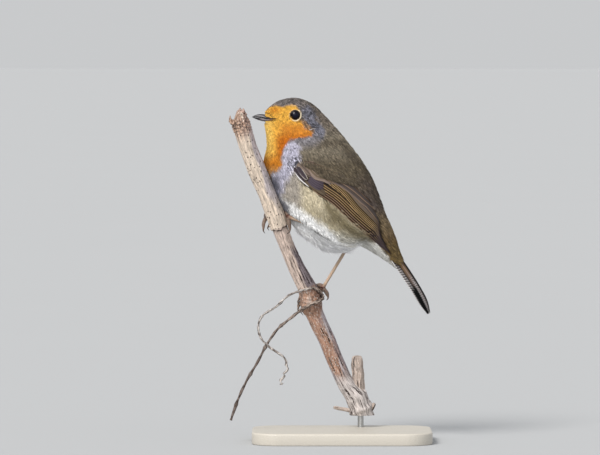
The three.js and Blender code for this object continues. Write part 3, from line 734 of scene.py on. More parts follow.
def leg_material():
    """Scaly leg skin: its tint with soft paler patches, and darker, lower gaps between cells of scale."""
    look = Finish("scaly leg skin", Roughness=0.5, Specular_IOR_Level=0.4, Subsurface_Weight=0.08,
                  Subsurface_Scale=0.0006)
    links = {"Vector": look.places("grain", (1, 1, 0.8)), "Scale": 1.7, "Randomness": 0.7}
    cells = look.node("TexVoronoi", links, feature="DISTANCE_TO_EDGE")["Distance"]
    gaps = look.step(cells, 0.02, 0.12, 1.0, 0.0)
    soft = look.clouds(look.places(), 1500)
    colour = look.blend(look.step(soft, 0.35, 0.7, 0.0, 0.18), look.read("tint"), tone(205, 184, 166))
    colour = look.blend(look.times(gaps, 0.35), colour, tone(96, 58, 44))
    height = look.maths("ADD", look.step(cells, 0.0, 0.25), look.times(soft, 0.3))
    return look.done(colour, height, 0.0001, 0.8)


def bark_material():
    """Dry weathered stem: pale and dark fibres along the grain over the tint, with dark cracks, pale flecks
    of torn skin and small black specks as far as the wear attribute asks (flecks, cracks, specks)."""
    look = Finish("dry weathered stem", Roughness=0.85, Specular_IOR_Level=0.2)

    def along(stretch, scale, detail, rough=0.55):
        """Noise drawn out along the grain."""
        return look.clouds(look.places("grain", (1, 1, stretch)), scale, detail, rough)

    wear = look.node("SeparateXYZ", {"Vector": look.read("wear", "Vector")})
    fibres = along(0.10, 2.0, 5.0, 0.65)
    colour = look.shade(look.read("tint"), look.step(fibres, 0.32, 0.66, 0.70, 1.34))
    colour = look.shade(colour, look.step(along(0.5, 0.9, 4.0), 0.35, 0.65, 0.90, 1.20))
    splits = look.step(along(0.09, 1.15, 3.0), 0.57, 0.64)
    colour = look.blend(look.times(splits, wear["Y"]), colour, tone(52, 40, 36))
    torn = look.step(along(0.45, 2.2, 3.0, 0.7), 0.56, 0.66)
    colour = look.blend(look.times(torn, wear["X"]), colour, tone(238, 230, 224))
    links = {"Vector": look.places("grain", (1, 1, 0.7)), "Scale": 0.85, "Randomness": 1.0}
    spots = look.node("TexVoronoi", links)
    chosen = look.step(look.node("SeparateColor", {"Color": spots["Color"]})["Red"], 0.60, 0.66)
    near = look.step(spots["Distance"], 0.17, 0.30, 1.0, 0.0)
    specks = look.times(look.times(near, chosen), wear["Z"])
    colour = look.blend(look.times(specks, 0.9), colour, tone(44, 34, 32))
    height = look.maths("SUBTRACT", fibres, look.times(specks, 0.6))
    return look.done(colour, look.maths("SUBTRACT", height, look.times(splits, 0.5)), 0.0004, 0.9)


def vine_material():
    """A dry twisted vine: brown-black in its grooves, with paler weathered fibres of the tint along the
    twist."""
    look = Finish("dry vine", Roughness=0.8, Specular_IOR_Level=0.25)
    fibres = look.clouds(look.places("grain", (1, 1, 0.2)), 2.6, 4.0)
    patches = look.clouds(look.places(), 260, 3.0)
    colour = look.blend(look.step(fibres, 0.40, 0.60), tone(62, 52, 48), look.read("tint"))
    colour = look.blend(look.step(patches, 0.48, 0.66, 0.0, 0.6), colour, tone(100, 86, 78))
    return look.done(colour, fibres, 0.00025, 0.9)


def plate_material():
    """Satin stone-coloured paint with a fine sprayed grain."""
    look = Finish("satin painted plate", Roughness=0.5, Coat_Weight=0.1)
    grain = look.clouds(look.places(), 2400, 3.0)
    colour = look.blend(look.step(grain, 0.3, 0.7), tone(205, 198, 186), tone(216, 210, 199))
    return look.done(colour, grain, 0.00003, 0.5)


def rod_material():
    """Brushed steel: rings of fine scratches round the rod."""
    look = Finish("brushed steel", Metallic=1.0, Roughness=0.32)
    rings = look.clouds(look.places(stretch=(0.05, 0.05, 1)), 9000, 3.0)
    return look.done(look.blend(rings, tone(176, 177, 178), tone(206, 206, 205)), rings, 0.00002, 0.5)


def floor_material():
    """A plain pale floor with the faintest unevenness."""
    look = Finish("plain pale floor", Roughness=0.9, Specular_IOR_Level=0.1)
    soft = look.clouds(look.places(), 3.0, 2.0)
    return look.done(look.blend(soft, (0.425, 0.435, 0.450), (0.430, 0.441, 0.456)))


PLUMAGE = plumage_material()
VANES = vane_material()


# ---------------------------------------------------------------- skin
def make_skin():
    """One closed skin from the bill's root to the tail: the body's surface, set in by the coat's depth, and
    by a little more where the wing lies on it."""
    u, angle = np.linspace(0.02, TAIL_END - 0.1, 170)[:, None], turns(112)
    point, normal, _, _ = surface(u, angle)
    below_wing = ramp(inside(point[..., 0], point[..., 2], WING_OUTLINE), -1.0, 1.5)
    rings = point - normal * (smooth(COAT, 3, u) + 0.15 + 0.2 * below_wing)[..., None]
    rings[..., 1] = np.where(rings[..., 1] * np.sin(angle) < 0, 0, rings[..., 1])
    flesh = ["head", "neck", "trunk", "thigh_left", "thigh_right"]
    make_piece("skin", ring_shell(rings, plumage=markings(point)), skin_material(), flesh)


# ---------------------------------------------------------------- contour feathers
def sow(first, last, seed):
    """Roots spread evenly over the body between two stations. Rows lie one root spacing apart; in each
    row the expected count is summed along the angle, and a root is set each time the sum passes a whole
    number. Gives stations and angles."""
    steps, columns = 400, 720
    draw = np.random.default_rng(seed)
    fine = np.linspace(first, last, steps)
    _, _, along, _ = surface(fine[:, None], np.linspace(0, 2 * PI, 24))
    rows = np.concatenate([[0], (size_of(along).mean(axis=1) / smooth(COAT, 1, fine)).cumsum()])
    rows = rows[:-1] * (last - first) / steps
    edges = np.interp(np.linspace(0, rows[-1], int(rows[-1]) + 1), rows, fine)
    u = (edges[:-1] + edges[1:])[:, None] / 2
    angle = turns(columns)
    _, _, along, across = surface(u, angle)
    area = size_of(np.cross(along, across)) * np.diff(edges)[:, None] * (2 * PI / columns)
    expected = (area / smooth(COAT, 1, u) ** 2).ravel().cumsum()
    hits = np.searchsorted(expected, np.arange(0.5, expected[-1]))
    row, column = np.divmod(hits, columns)
    u_hit = u[row, 0] + draw.uniform(-0.5, 0.5, len(hits)) * np.diff(edges)[row]
    return u_hit, angle[column] + draw.uniform(-0.4, 0.4, len(hits)) * 0.03


def under_wing(x, z):
    """How far a side-view point lies inside the folded wing's outline or its wrist feathers; nearer the
    wing's tip the outline counts as wider."""
    wing = inside(x, z, WING_OUTLINE) + 1.2 * ramp(x, 14, 20)
    return np.maximum(wing, inside(x, z, WRIST) + 1.2)


def lancets(root, middle, tip, normal, wide):
    """Tapering blades of five points: root, left, ridge, right, tip. Left and right stand off the middle by
    half the width, square to the blade; the ridge rises along the normal by 0.7 of that."""
    side = unit(np.cross(normal, unit(tip - root))) * wide[..., None] / 2
    ridge = middle + normal * wide[..., None] * 0.35
    return np.stack([root, middle + side, ridge, middle - side, tip], axis=-2)


LANCET = np.array([[0, 2, 1], [0, 3, 2], [2, 4, 1], [3, 4, 2], [0, 1, 3], [1, 4, 3]])
LANCET_RUN = np.array([-0.5, 0.05, 0.05, 0.05, 0.5])  # how far along its patch each point of a blade lies
DOWN = tone(84, 80, 82)


def skin_home(u, angle):
    """A root's place on the unwrap of the skin: its station across, its angle up."""
    return 0.01 + 0.98 * np.clip(pack(u / TAIL_END, np.mod(angle, 2 * PI) / (2 * PI)), 0, 1)


def strands(u, angle, length, width, depth, lift, heading, seed, loose, over_wing):
    """Tufts of tapering strands. A tuft's strands fan out from its root. Points follow the body's surface: a
    step along a strand is turned into steps of station and angle by the surface's own vectors at the root,
    and stops where the coat ends. The height rises from the skin's depth to the lift as 1 - (1 - t)^2;
    loose strands end higher and so lie open on the coat. Gives points, and places on the OFBake map."""
    draw = np.random.default_rng(seed)
    shape = (len(u), STRANDS)
    q = np.linspace(-1, 1, STRANDS) + draw.normal(0, 0.1, shape)
    _, _, along, across = surface(u, angle)
    home = skin_home(u, angle)[:, None, None, :]
    u, angle, length, width, depth, lift, heading, over_wing, stride, turn = (
        v[:, None] for v in (u, angle, length, width, depth, lift, heading, over_wing, size_of(along),
                             np.maximum(size_of(across), 0.8)))
    way = heading + TUFT_FAN * q + draw.normal(0, 0.05, shape)
    reach = length * (1 - 0.2 * q ** 2) * draw.uniform(0.72, 1.1, shape)
    shift = 0.12 * length * q
    u0 = u - shift * np.sin(heading) / stride
    a0 = angle + shift * np.cos(heading) / turn
    coat_end = mix(14.8, 14.15, ramp(np.cos(angle), 0.3, -0.4))
    reach = np.minimum(reach, np.maximum(coat_end - u0, 0.05) * stride * draw.uniform(0.25, 1.0, shape))
    top = lift * np.where(loose, draw.uniform(1.9, 2.9, shape), draw.uniform(0.1, 1.5, shape))
    stations = []
    for t in (0.0, 0.66, 1.0):
        ut = np.clip(u0 + t * reach * np.cos(way) / stride, 0.0, TAIL_END + 1)
        point, normal, _, _ = surface(ut, a0 + t * reach * np.sin(way) / turn)
        wing = (WING_TOP + 0.3) * ramp(inside(point[..., 0], point[..., 2], WING_OUTLINE), -1.2, 1.6)
        height = mix(-depth, top, 1 - (1 - t) ** 2) + wing * over_wing
        stations.append((point + normal * height[..., None], normal))
    (root, _), (middle, normal), (tip, _) = stations
    roll = draw.normal(0, 0.35, shape + (1,))
    sideways = unit(np.cross(normal, unit(tip - root)))
    wide = width * draw.uniform(0.75, 1.25, shape) * np.where(loose, 0.8, 1.0)
    points = lancets(root, middle, tip, normal * np.cos(roll) + sideways * np.sin(roll), wide)
    return points, home + pack(LANCET_RUN, np.clip(q, -1, 1)[..., None] / 2) * PATCH


def coat_shell(points, patches, colours):
    """Strands as one shell: grey down at the root, the strand's colour, a shade darker at its sides and a
    little paler at its tip; pale strands are paler throughout."""
    count = points[..., 0, 0].size
    tint = colours.reshape(count, 3)
    pale = ramp(tint.mean(axis=1, keepdims=True), 0.25, 0.6)
    root = tint * mix(0.5, 0.95, pale) + DOWN * 0.2 * (1 - pale)
    edge, ridge, tip = (tint * mix(*ends, pale) for ends in ((0.84, 1.0), (0.95, 1.0), (1.12, 1.04)))
    return {
        "points": points.reshape(-1, 3), "quads": NO_QUADS,
        "fans": (LANCET + 5 * np.arange(count)[:, None, None]).reshape(-1, 3),
        "plumage": np.stack([root, edge, ridge, edge, tip], axis=1).reshape(-1, 3),
        "OFBake": patches.reshape(-1, 2),
    }


def spared(u, angle, length):
    """Which tufts are kept, and how long they may be: none starts on the eye or the bill or reaches into
    them, and none lies under the wing or runs far out over it."""
    point, _, along, _ = surface(u, angle)
    place = point[:, [0, 2]]
    way = unit(along[:, [0, 2]])
    to_eye = np.array([EYE["x"], EYE["z"]]) - place
    onward = (to_eye * way).sum(axis=1)
    aside2 = (to_eye ** 2).sum(axis=1) - onward ** 2
    rim = EYE["visible"] + 0.3
    meets = (aside2 < rim ** 2) & (onward > 0)
    room = np.where(meets, onward - np.sqrt(np.maximum(rim ** 2 - aside2, 0)), 99.0)
    length = np.minimum(length, room * 0.96)
    keep = ((to_eye ** 2).sum(axis=1) > (rim - 0.1) ** 2) & (length > 0.6)
    keep &= inside(*place.T, BILL_ROOM) < 0
    keep &= (under_wing(*place.T) < 1.0) | (inside(*place.T, SCAPULARS) > 0)
    short = np.full(len(u), 0.15)
    for share in (0.3, 0.5, 0.75, 1.0):
        x, z = (place + way * (length * share)[:, None]).T
        blocked = (under_wing(x, z) > 1.3) & (inside(x, z, SCAPULARS) < -1.2)
        blocked |= inside(x, z, BILL_ROOM) > 0.1
        short = np.where(blocked, short, share)
    return keep, length * short


def dress(name, first, last, seed, part):
    """One coat piece: the tufts between two stations on the back, the front or the whole of the body. Each
    strand has the marking under its own tip, lighter or darker by its own share and its tuft's. Loose
    strands differ more, and on the crown and at the bend of the wing some are very dark."""
    draw = np.random.default_rng(seed)
    u, angle = sow(first, last, seed)
    length = smooth(COAT, 0, u) * draw.uniform(0.85, 1.15, len(u))
    keep, length = spared(u, angle, length)
    if part != "whole":
        keep &= (np.cos(angle) > 0.0) == (part == "back")
    u, angle, length = u[keep], angle[keep], length[keep]
    point, _, _, _ = surface(u, angle)
    x, z = point[:, 0], point[:, 2]
    heading = ripple(point, 22.0, 5) * 0.14 + ripple(point, 5.0, 6) * 0.09 + draw.normal(0, 0.06, len(u))
    upper = (inside(x, z, SCAPULARS) > -6).astype(float)
    loose = draw.random((len(u), STRANDS)) < 0.15
    silky = ramp(inside(x, z, UNDERSIDE), -1, 2)
    points, patches = strands(
        u, angle, length * (1 + 0.15 * silky), smooth(COAT, 2, u) * (1 - 0.25 * silky), smooth(COAT, 3, u),
        smooth(COAT, 4, u), heading, seed + 1, loose, upper)
    seen = points[:, :, 2] * 0.35 + points[:, :, 4] * 0.65
    x, z = seen[..., 0], seen[..., 2]
    rough = unevenness(seen)
    light = draw.normal(0, 1, x.shape) * rough * 0.8 + draw.normal(0, 1, (len(u), 1)) * rough * 0.7
    light = light + loose * np.where(draw.random(x.shape) < 0.45, 1.3, -1.7) * rough
    crown = (draw.random(x.shape) < 0.2) & (inside(x, z, BIB) < -1) & (z > 163)
    light = np.where(crown, light - 0.9, light)
    bend = np.hypot(x + 22.5, z - 138.0) < 4.5
    light = np.where(bend, light + draw.choice([0.35, 0.1, -1.2], (len(u), 1)), light)
    colours = markings(seen) * np.exp(np.minimum(light, 0.75) - rough ** 2 / 2)[..., None]
    make_piece(name, coat_shell(points, patches, np.minimum(colours, 0.9)), PLUMAGE, even=False)


def make_coat():
    """The coat in pieces, each well under 200,000 faces."""
    dress("face_feathers", 0.05, 2.5, 31, "whole")
    dress("cheek_and_crown_feathers", 2.5, 4.9, 32, "whole")
    dress("neck_feathers", 4.9, 6.5, 33, "whole")
    dress("mantle_feathers", 6.5, 9.2, 34, "back")
    dress("rump_feathers", 9.2, 13.9, 35, "back")
    dress("breast_feathers", 6.5, 8.9, 36, "front")
    dress("belly_feathers", 8.9, 11.4, 37, "front")
    dress("vent_feathers", 11.4, 13.95, 38, "front")


# ---------------------------------------------------------------- flight feathers
VANE_RINGS = 22
VANE_ACROSS = 7


def wing_place(share, rise):
    """A side-view point on the wing: rise millimetres from the lower edge towards the upper one. Also gives
    the wing's width there."""
    s = np.clip(share, 0, 1) * (len(WING_LOWER) - 1)
    low, high = track(WING_LOWER, s), track(WING_UPPER, s)
    width = size_of(high - low)
    return low + (high - low) / width[..., None] * rise[..., None], width


def doubled(top, under):
    """Values across the top of a vane, and then back across its underside."""
    return np.concatenate([top, under[:, ::-1]], axis=1)


def rounded(across):
    """How thick a vane is across it: (1 - t^4)^(1/2), t from -1 to 1."""
    return np.sqrt(np.maximum(1 - (2 * across - 1) ** 4, 0.05))


def vane_shell(side, place, level, wide, shaft, rims, run, colours):
    """A thin closed feather from side-view points (ring, across, 2). It lies level millimetres off the
    flank, its outer edge a little higher than its inner one, like a roof tile, and crowned between. wide is
    the width at each ring, run the millimetres along, and shaft the share across where the shaft lies. Its
    colours are web, dark, fringe and shaft, each one colour or one for each ring."""
    x, z = place[..., 0], place[..., 1]
    across = np.linspace(0, 1, VANE_ACROSS)
    height = flank(x, z) + level + 0.16 * (0.5 - across) + 0.04 * np.sin(PI * across)
    half = 0.07 * rounded(across)
    edge = wide * across
    if rims:
        edge = np.minimum(np.minimum(edge, wide * (1 - across)), (run[-1] - run) * 0.8)
    vane = pack(edge, run, wide * (across - shaft))
    return {
        "rings": doubled(pack(x, side * (height + half), z), pack(x, side * (height - half), z)),
        "vane": doubled(vane, vane), **dict(zip(("web", "dark", "fringe", "shaft"), colours)),
    }


def wing_vane(side, start, end, edge, wide, level, colours, blunt=3.0, shaft=0.25):
    """One flight feather lying on the wing between two shares of its length. Its outer edge runs along the
    rises given for shares in edge, closing with the wing towards the tip; its width swells from the base
    and rounds off at the tip. Towards the wing's tip its colours turn to slate."""
    v = shares(VANE_RINGS)
    share = mix(start, end, v)
    _, width = wing_place(share, np.zeros_like(share))
    profile = ramp(v, -0.25, 0.18) * blunt_end(v, blunt)
    lower = np.interp(share, *np.transpose(edge)) * np.minimum(1, width / 9.0)
    full = np.minimum(wide, width - lower + 0.3)
    across = np.linspace(0, 1, VANE_ACROSS)
    place, _ = wing_place(share + 0 * across, lower + full * ((1 - profile) * 0.3 + profile * across))
    tip = ramp(share, 0.62, 0.84)[..., None]
    web, dark, fringe, rib = colours
    fringe = mix(fringe, SLATE * 0.85, tip * 0.9)
    shades = (mix(web, SLATE * 0.6, tip), mix(dark, SLATE * 0.42, tip), fringe, rib)
    sinking = level - 0.25 * ramp(v, 0.75, 1.0)
    return vane_shell(side, place, sinking, full * profile, shaft, False, (share - start) * WING_RUN, shades)


def path_vane(side, path, wide, level, colours, blunt=3.0):
    """A small feather whose middle follows side-view points, as wide as a wing_vane's profile of its own."""
    points = np.array(path, float)
    v = shares(VANE_RINGS)
    middle = track(points, v[:, 0] * (len(points) - 1))
    ahead = unit(np.gradient(middle, axis=0))
    inward = pack(-ahead[:, 1], ahead[:, 0])
    width = wide * ramp(v, -0.3, 0.25) * blunt_end(v, blunt)
    across = np.linspace(0, 1, VANE_ACROSS)
    place = middle[:, None, :] + inward[:, None, :] * ((across - 0.5) * width)[..., None]
    return vane_shell(side, place, level, width, 0.5, True, run_of(middle), colours)


def finish_vanes(name, vanes, replaces):
    """Vanes as one piece, each with its own cell of the OFBake map."""
    cells = math.ceil(math.sqrt(len(vanes)))
    shells = []
    for k, one in enumerate(vanes):
        rings = one.pop("rings")
        count, sides = rings.shape[:2]
        row, column = divmod(k, cells)
        half = sides // 2
        around = np.concatenate([np.linspace(0.04, 0.48, half), np.linspace(0.52, 0.96, sides - half)])
        along = np.linspace(0.04, 0.96, count)[:, None]
        shells.append(ring_shell(rings, OFBake=pack(column + around, row + along) / cells, **one))
    make_piece(name, join(shells), VANES, replaces)


WEB = tone(76, 62, 46)
DARK_WEB = tone(34, 28, 27)
GOLD = tone(208, 174, 124)
PINK_BUFF = tone(186, 154, 128)
COVERT = tone(108, 94, 78)
SLATE = tone(82, 74, 84)
PALE = tone(200, 190, 178)
WHITE = tone(240, 236, 236)
TERTIAL = tone(101, 91, 87)
OLIVE = tone(116, 98, 72)
BROWN_BAND = tone(136, 120, 110)
RIB = tone(56, 42, 34)


def make_wing(name, side):
    """A folded wing, from the deepest feathers to the top ones: primaries, secondaries, tertials, primary
    coverts, greater coverts, alula, and the white edge at the wrist."""
    primaries, secondaries, coverts = [], [], []
    for k, tip in enumerate([0.93, 0.985, 1.0, 0.975, 0.945, 0.915]):
        shades = (WEB * 0.6, DARK_WEB * 0.8, (PINK_BUFF if k < 3 else GOLD) * 0.85, RIB)
        edge = [(0, 0.1 + 1.05 * k)]
        primaries.append(wing_vane(side, 0.16, tip, edge, 3.8, 0.34 + 0.08 * k, shades, 4.0, 0.22))
    golden = np.array([(0.2, 7.5), (0.243, 7.16), (0.451, 5.48), (0.722, 4.84), (1.0, 4.6)])
    fringes = [GOLD, GOLD, GOLD * 0.85, GOLD * 0.6, OLIVE * 1.3, OLIVE * 1.3]
    for k, above in enumerate([0.0, 0.9, 1.8, 2.7, 3.7, 4.7]):
        edge = golden + np.array([0, 1]) * above * (1 - 0.35 * golden[:, :1])
        web = WEB * 0.4 if k < 4 else TERTIAL * 1.35
        shades = (web, web * 0.8, fringes[k], RIB)
        end = 0.89 - 0.02 * k
        secondaries.append(wing_vane(side, 0.17, end, edge, 4.0, 0.76 + 0.1 * k, shades, 6.0, 0.24))
    tertials = [
        (0.79, [(0.2, 8.6), (0.291, 9.0), (0.516, 10.3), (0.658, 9.2), (0.8, 7.8)], 6.5),
        (0.69, [(0.2, 10.2), (0.4, 11.8), (0.55, 12.4), (0.69, 10.8)], 5.5),
        (0.57, [(0.2, 12.0), (0.35, 13.6), (0.57, 13.8)], 4.0),
    ]
    shades = (TERTIAL * 1.35, TERTIAL * 0.6, PINK_BUFF * 0.75, RIB)
    for k, (tip, edge, wide) in enumerate(tertials):
        secondaries.append(wing_vane(side, 0.16, tip, edge, wide, 1.42 + 0.1 * k, shades, 3.5, 0.2))
    under = [(-23.5, 137.4), (-19.5, 132.6), (-13.0, 127.8), (-8.0, 124.2)]
    coverts.append(path_vane(side, under, 3.6, 0.75, (COVERT * 0.8, COVERT * 0.6, COVERT * 0.8, RIB), 5.0))
    behind = [(-22.0, 139.8), (-18.5, 137.0), (-13.0, 133.2), (-9.0, 130.4)]
    shades = (BROWN_BAND * 0.75, COVERT * 0.7, BROWN_BAND * 0.8, RIB)
    coverts.append(path_vane(side, behind, 4.6, 0.85, shades, 5.0))
    shades = (SLATE, SLATE * 0.8, SLATE * 1.15, RIB)
    for k in range(4):
        edge = [(0.04, 0.4 + 0.8 * k), (0.15, 1.3 + 0.9 * k), (0.24, 2.3 + 1.1 * k)]
        end = 0.238 - 0.008 * abs(k - 1)
        coverts.append(wing_vane(side, 0.125, end, edge, 1.9, 0.98 + 0.1 * k, shades, 9.0, 0.5))
    for k in range(6):
        edge = [(0, 2.6 + 1.3 * k), (0.16, 5.0 + 1.15 * k), (0.21, 6.8 + 1.0 * k), (0.34, 7.4 + 1.0 * k)]
        shades = (BROWN_BAND if k == 0 else COVERT, COVERT * 0.7, BROWN_BAND * 1.1, RIB)
        coverts.append(wing_vane(side, 0.03, 0.26 + 0.016 * k, edge, 2.6, 1.3 + 0.1 * k, shades, 5.0, 0.6))
    alula = [
        ([(-22.4, 138.0), (-20.2, 135.2), (-17.4, 131.6)], 2.7, 1.62, SLATE * 0.75, PALE * 0.85),
        ([(-23.8, 137.6), (-21.9, 134.6), (-18.6, 130.9)], 1.7, 1.74, SLATE * 0.55, SLATE * 0.8),
        ([(-21.6, 139.8), (-19.0, 137.4), (-15.8, 134.0)], 2.4, 1.5, BROWN_BAND * 0.75, BROWN_BAND * 1.1),
    ]
    for path, wide, level, web, rim in alula:
        coverts.append(path_vane(side, path, wide, level, (web, web * 0.7, rim, RIB)))
    white_edge = [(-23.7, 136.6), (-22.4, 133.9), (-20.2, 131.2), (-16.5, 128.1)]
    coverts.append(path_vane(side, white_edge, 0.85, 1.35, [WHITE] * 4, 2.0))
    for title, vanes in (("primaries", primaries), ("secondaries", secondaries)):
        finish_vanes(f"{title}_{name}", vanes, [f"wing_{name}_{title}"])
    finish_vanes(f"wing_coverts_{name}", coverts, [f"wing_{name}_coverts"])


def tail_place(s, across, drop_in):
    """A point of the closed tail: from the outer edge line up towards the ridge by 1 - |across|^1.4, lowered
    into the tail by drop_in."""
    ridge, edge = track(TAIL, s, (0, 1)), track(TAIL, s, (2, 3))
    roof = size_of(ridge - edge)
    rise = 1 - np.minimum(np.abs(across), 1.0) ** 1.4 - drop_in / roof
    place = edge + (ridge - edge) * rise[..., None]
    return pack(place[..., 0], across * smooth(TAIL, 4, s), place[..., 1])


def make_tail():
    """Twelve tail feathers: the middle pair on top, each next pair a little wider out and lower. They are
    olive brown at the root, with a dark ridge, a pale line beside it, standing barbs lower down, and a black
    lower half towards the tip inside a fine white edge. The dark outer part and the black are painted shadow
    of the tail's underside."""
    vanes = []
    v, across = shares(60), np.linspace(0, 1, 11)
    outers = [0.42, 0.60, 0.74, 0.86, 0.94, 1.0]
    inners = [-0.06, 0.05, 0.2, 0.32, 0.42, 0.5]
    for k, (outer, inner, end) in enumerate(zip(outers, inners, [4.93, 5.0, 5.0, 4.98, 4.95, 4.9])):
        s = mix(0.15, end, v)
        tip = blunt_end(v, 9)
        middle = mix(outer, inner, 0.45)
        place = middle + (mix(outer, inner, across) - middle) * tip
        level = 0.12 + 0.16 * k + 0.10 * (2 * across - 1) - 0.10 * np.sin(PI * across)
        wide = 7.0 * (outer - inner) * tip
        web = lay(
            tone(122, 98, 68),
            (104, 90, 84, ramp(s, 1.3, 2.8)),
            (34, 30, 30, ramp(place, 0.40, 0.30) * ramp(s, 0.8, 1.6)),
            (176, 152, 144, bell(place, 0.5, 0.05) * ramp(s, 0.9, 1.6) * 0.6),
            # Darker on the lower, outer part and black on the lower half towards the tip: painted shadow of
            # the tail's underside.
            (44, 38, 38, ramp(place, 0.66, 0.74) * ramp(s, 0.6, 1.2)),
            (5, 4, 5, ramp(place, 0.5, 0.58) * ramp(s, 2.4 + 0.8 * (1 - place), 3.1)),
            (5, 4, 5, ramp(s, 4.3, 4.6) * ramp(place, 0.3, 0.5)),
            (214, 210, 208, ramp(v, 0.97, 0.985) * ramp(place, 0.2, 0.35) * (k < 3)),
        )
        stand = np.max([
            0.85 * ramp(place, 0.74, 0.8) * ramp(s, 1.2, 1.9) * ramp(s + 0.8 * place, 3.9, 3.4),
            ramp(place, 0.34, 0.4) * ramp(place, 0.62, 0.54) * ramp(s, 2.0, 2.8),
            0.85 * ramp(place, 0.9, 0.94) * ramp(s, 1.0, 1.6),
        ], axis=0)
        values = {
            "vane": pack(wide * across, v * 42, wide * (across - 0.35)),
            "web": np.concatenate([web, 1 - stand[..., None]], axis=-1), "dark": web * 0.85,
            "fringe": tone(240, 238, 236) + 0 * web if k == 5 else web * 1.1, "shaft": web * 0.7,
        }
        values = {key: doubled(value, value) for key, value in values.items()}
        for side in (-1, 1):
            top = tail_place(s, side * place, level)
            under = tail_place(s, side * place, level + 0.2 * rounded(across))
            vanes.append({"rings": doubled(top, under), **values})
    finish_vanes("tail_feathers", vanes, ["tail"])


# ---------------------------------------------------------------- bill and eyes
def make_bill(material):
    """Two mandibles: the section is half round between the mouth line and the culmen or the chin, pinched
    to a ridge at the top. The nostril is a dent in the side near the root. Their colour has painted light: a
    highlight along the upper mandible, and shade in the nostril and along the mouth line."""
    s, angle = shares(70) ** 1.15 * (len(BILL) - 1), turns(36)
    c, up = np.cos(angle), np.maximum(np.sin(angle), 0)
    x = smooth(BILL, 0, s) + 0 * angle
    swell = ramp(smooth(BILL, 0, s), -38.8, -35.0)
    for name, far, gap, broad, flare in (("upper", 1, 0.05, 1.0, 0.25), ("lower", 3, -0.05, 0.92, 0.7)):
        half = smooth(BILL, 4, s) * broad * (1 + flare * swell)
        y = np.sign(c) * np.abs(c) ** 0.6 * half * (1 - 0.22 * up ** 3)
        z = mix(smooth(BILL, 2, s) + gap, smooth(BILL, far, s), up ** 0.85)
        hole = bell(x, -37.5, 0.8) * bell(z, 162.75, 0.36) * (name == "upper")
        if name == "upper":
            # A pale band along the side of the upper mandible: a painted highlight.
            layers = [(128, 120, 130, ramp(x, -43.5, -40.5) * bell(z, 163.1, 0.22) * 0.55)]
        else:
            layers = [
                (176, 162, 170, ramp(x, -42.0, -39.0) * ramp(z, 160.6, 161.2) * 0.85),
                (168, 132, 104, ramp(x, -37.6, -36.0) * 0.7),
            ]
        tint = lay(
            tone(38, 35, 42), *layers,
            (26, 22, 24, ramp(x, -43.5, -45.0)),
            # The nostril's dent painted near black: painted shade in the opening.
            (12, 10, 10, np.clip(hole * 1.5, 0, 1)),
            # Darker along the mouth line where the mandibles meet: painted shade.
            (26, 22, 24, ramp(np.sin(angle), 0.25, 0.0) * ramp(x, -36.0, -38.0)),
        )
        shell = ring_shell(pack(x, y * (1 - 0.3 * hole), z), tint=tint)
        make_piece(f"horn_{name}", shell, material, [f"bill_{name}"])


def make_eye(name, side, material, lid_material):
    """A ball with a bulging front, and round it a thin wrinkled lid: a closed ring whose profile climbs from
    the ball over a soft rim and sinks into the coat. The ball's middle lies in from the flank by its radius,
    less how proud it is. The lid's faces are turned round on one side, so that both lids face outwards."""
    radius = EYE["radius"]
    deep = float(flank(np.array(EYE["x"]), np.array(EYE["z"]))) + EYE["proud"] - radius
    centre = np.array([EYE["x"], side * deep, EYE["z"]])
    v, angle = np.linspace(0.02, PI - 0.02, 40)[:, None], turns(64)
    disc = radius * np.sin(v)
    out = radius * np.cos(v) + 0.12 * bell(disc, 0, 1.6) * (np.cos(v) > 0)
    x, z = disc * np.cos(angle), disc * np.sin(angle)
    shell = ring_shell(centre + pack(x, side * out, z), disc=pack(x, z, (np.cos(v) < 0) * 9.0))
    make_piece(f"eyeball_{name}", shell, material, [f"eye_{name}"])
    turn, ring = turns(96)[:, None], turns(14)
    reach = 2.42 + 0.30 * np.cos(ring) + 0.04 * np.sin(2 * turn)
    rim = 0.20 * np.sin(ring) + 0.03 * np.cos(24 * turn) * np.maximum(np.sin(ring), 0)
    ball = np.sqrt(np.maximum(radius ** 2 - np.minimum(reach, 3.1) ** 2, 0))
    almond = np.cos(turn) * (1.0 + 0.06 * np.abs(np.cos(turn)) ** 3)
    lid = centre + pack(reach * almond, side * (ball + 0.10 + rim), reach * np.sin(turn) * 0.96)
    index = np.arange(turn.size * ring.size).reshape(turn.size, ring.size)
    ahead = np.roll(index, -1, axis=0)
    quads = np.stack([index, ahead, np.roll(ahead, -1, axis=1), np.roll(index, -1, axis=1)], axis=-1)
    shell = {"points": lid.reshape(-1, 3), "quads": quads.reshape(-1, 4)[:, ::-side], "fans": NO_FANS,
             "tint": np.broadcast_to(tone(34, 28, 28), (index.size, 3))}
    make_piece(f"eyelid_{name}", shell, lid_material)


def loose_shell(root, middle, tip, normal, wide, colours, home):
    """Separate blades as a coat shell, each with a patch at its own place of the OFBake map."""
    points = lancets(root, middle, tip, normal, wide)
    share = pack(LANCET_RUN, [0, 0.4, 0, -0.4, 0]) * PATCH
    return coat_shell(points, home[:, None, :] + share, colours)


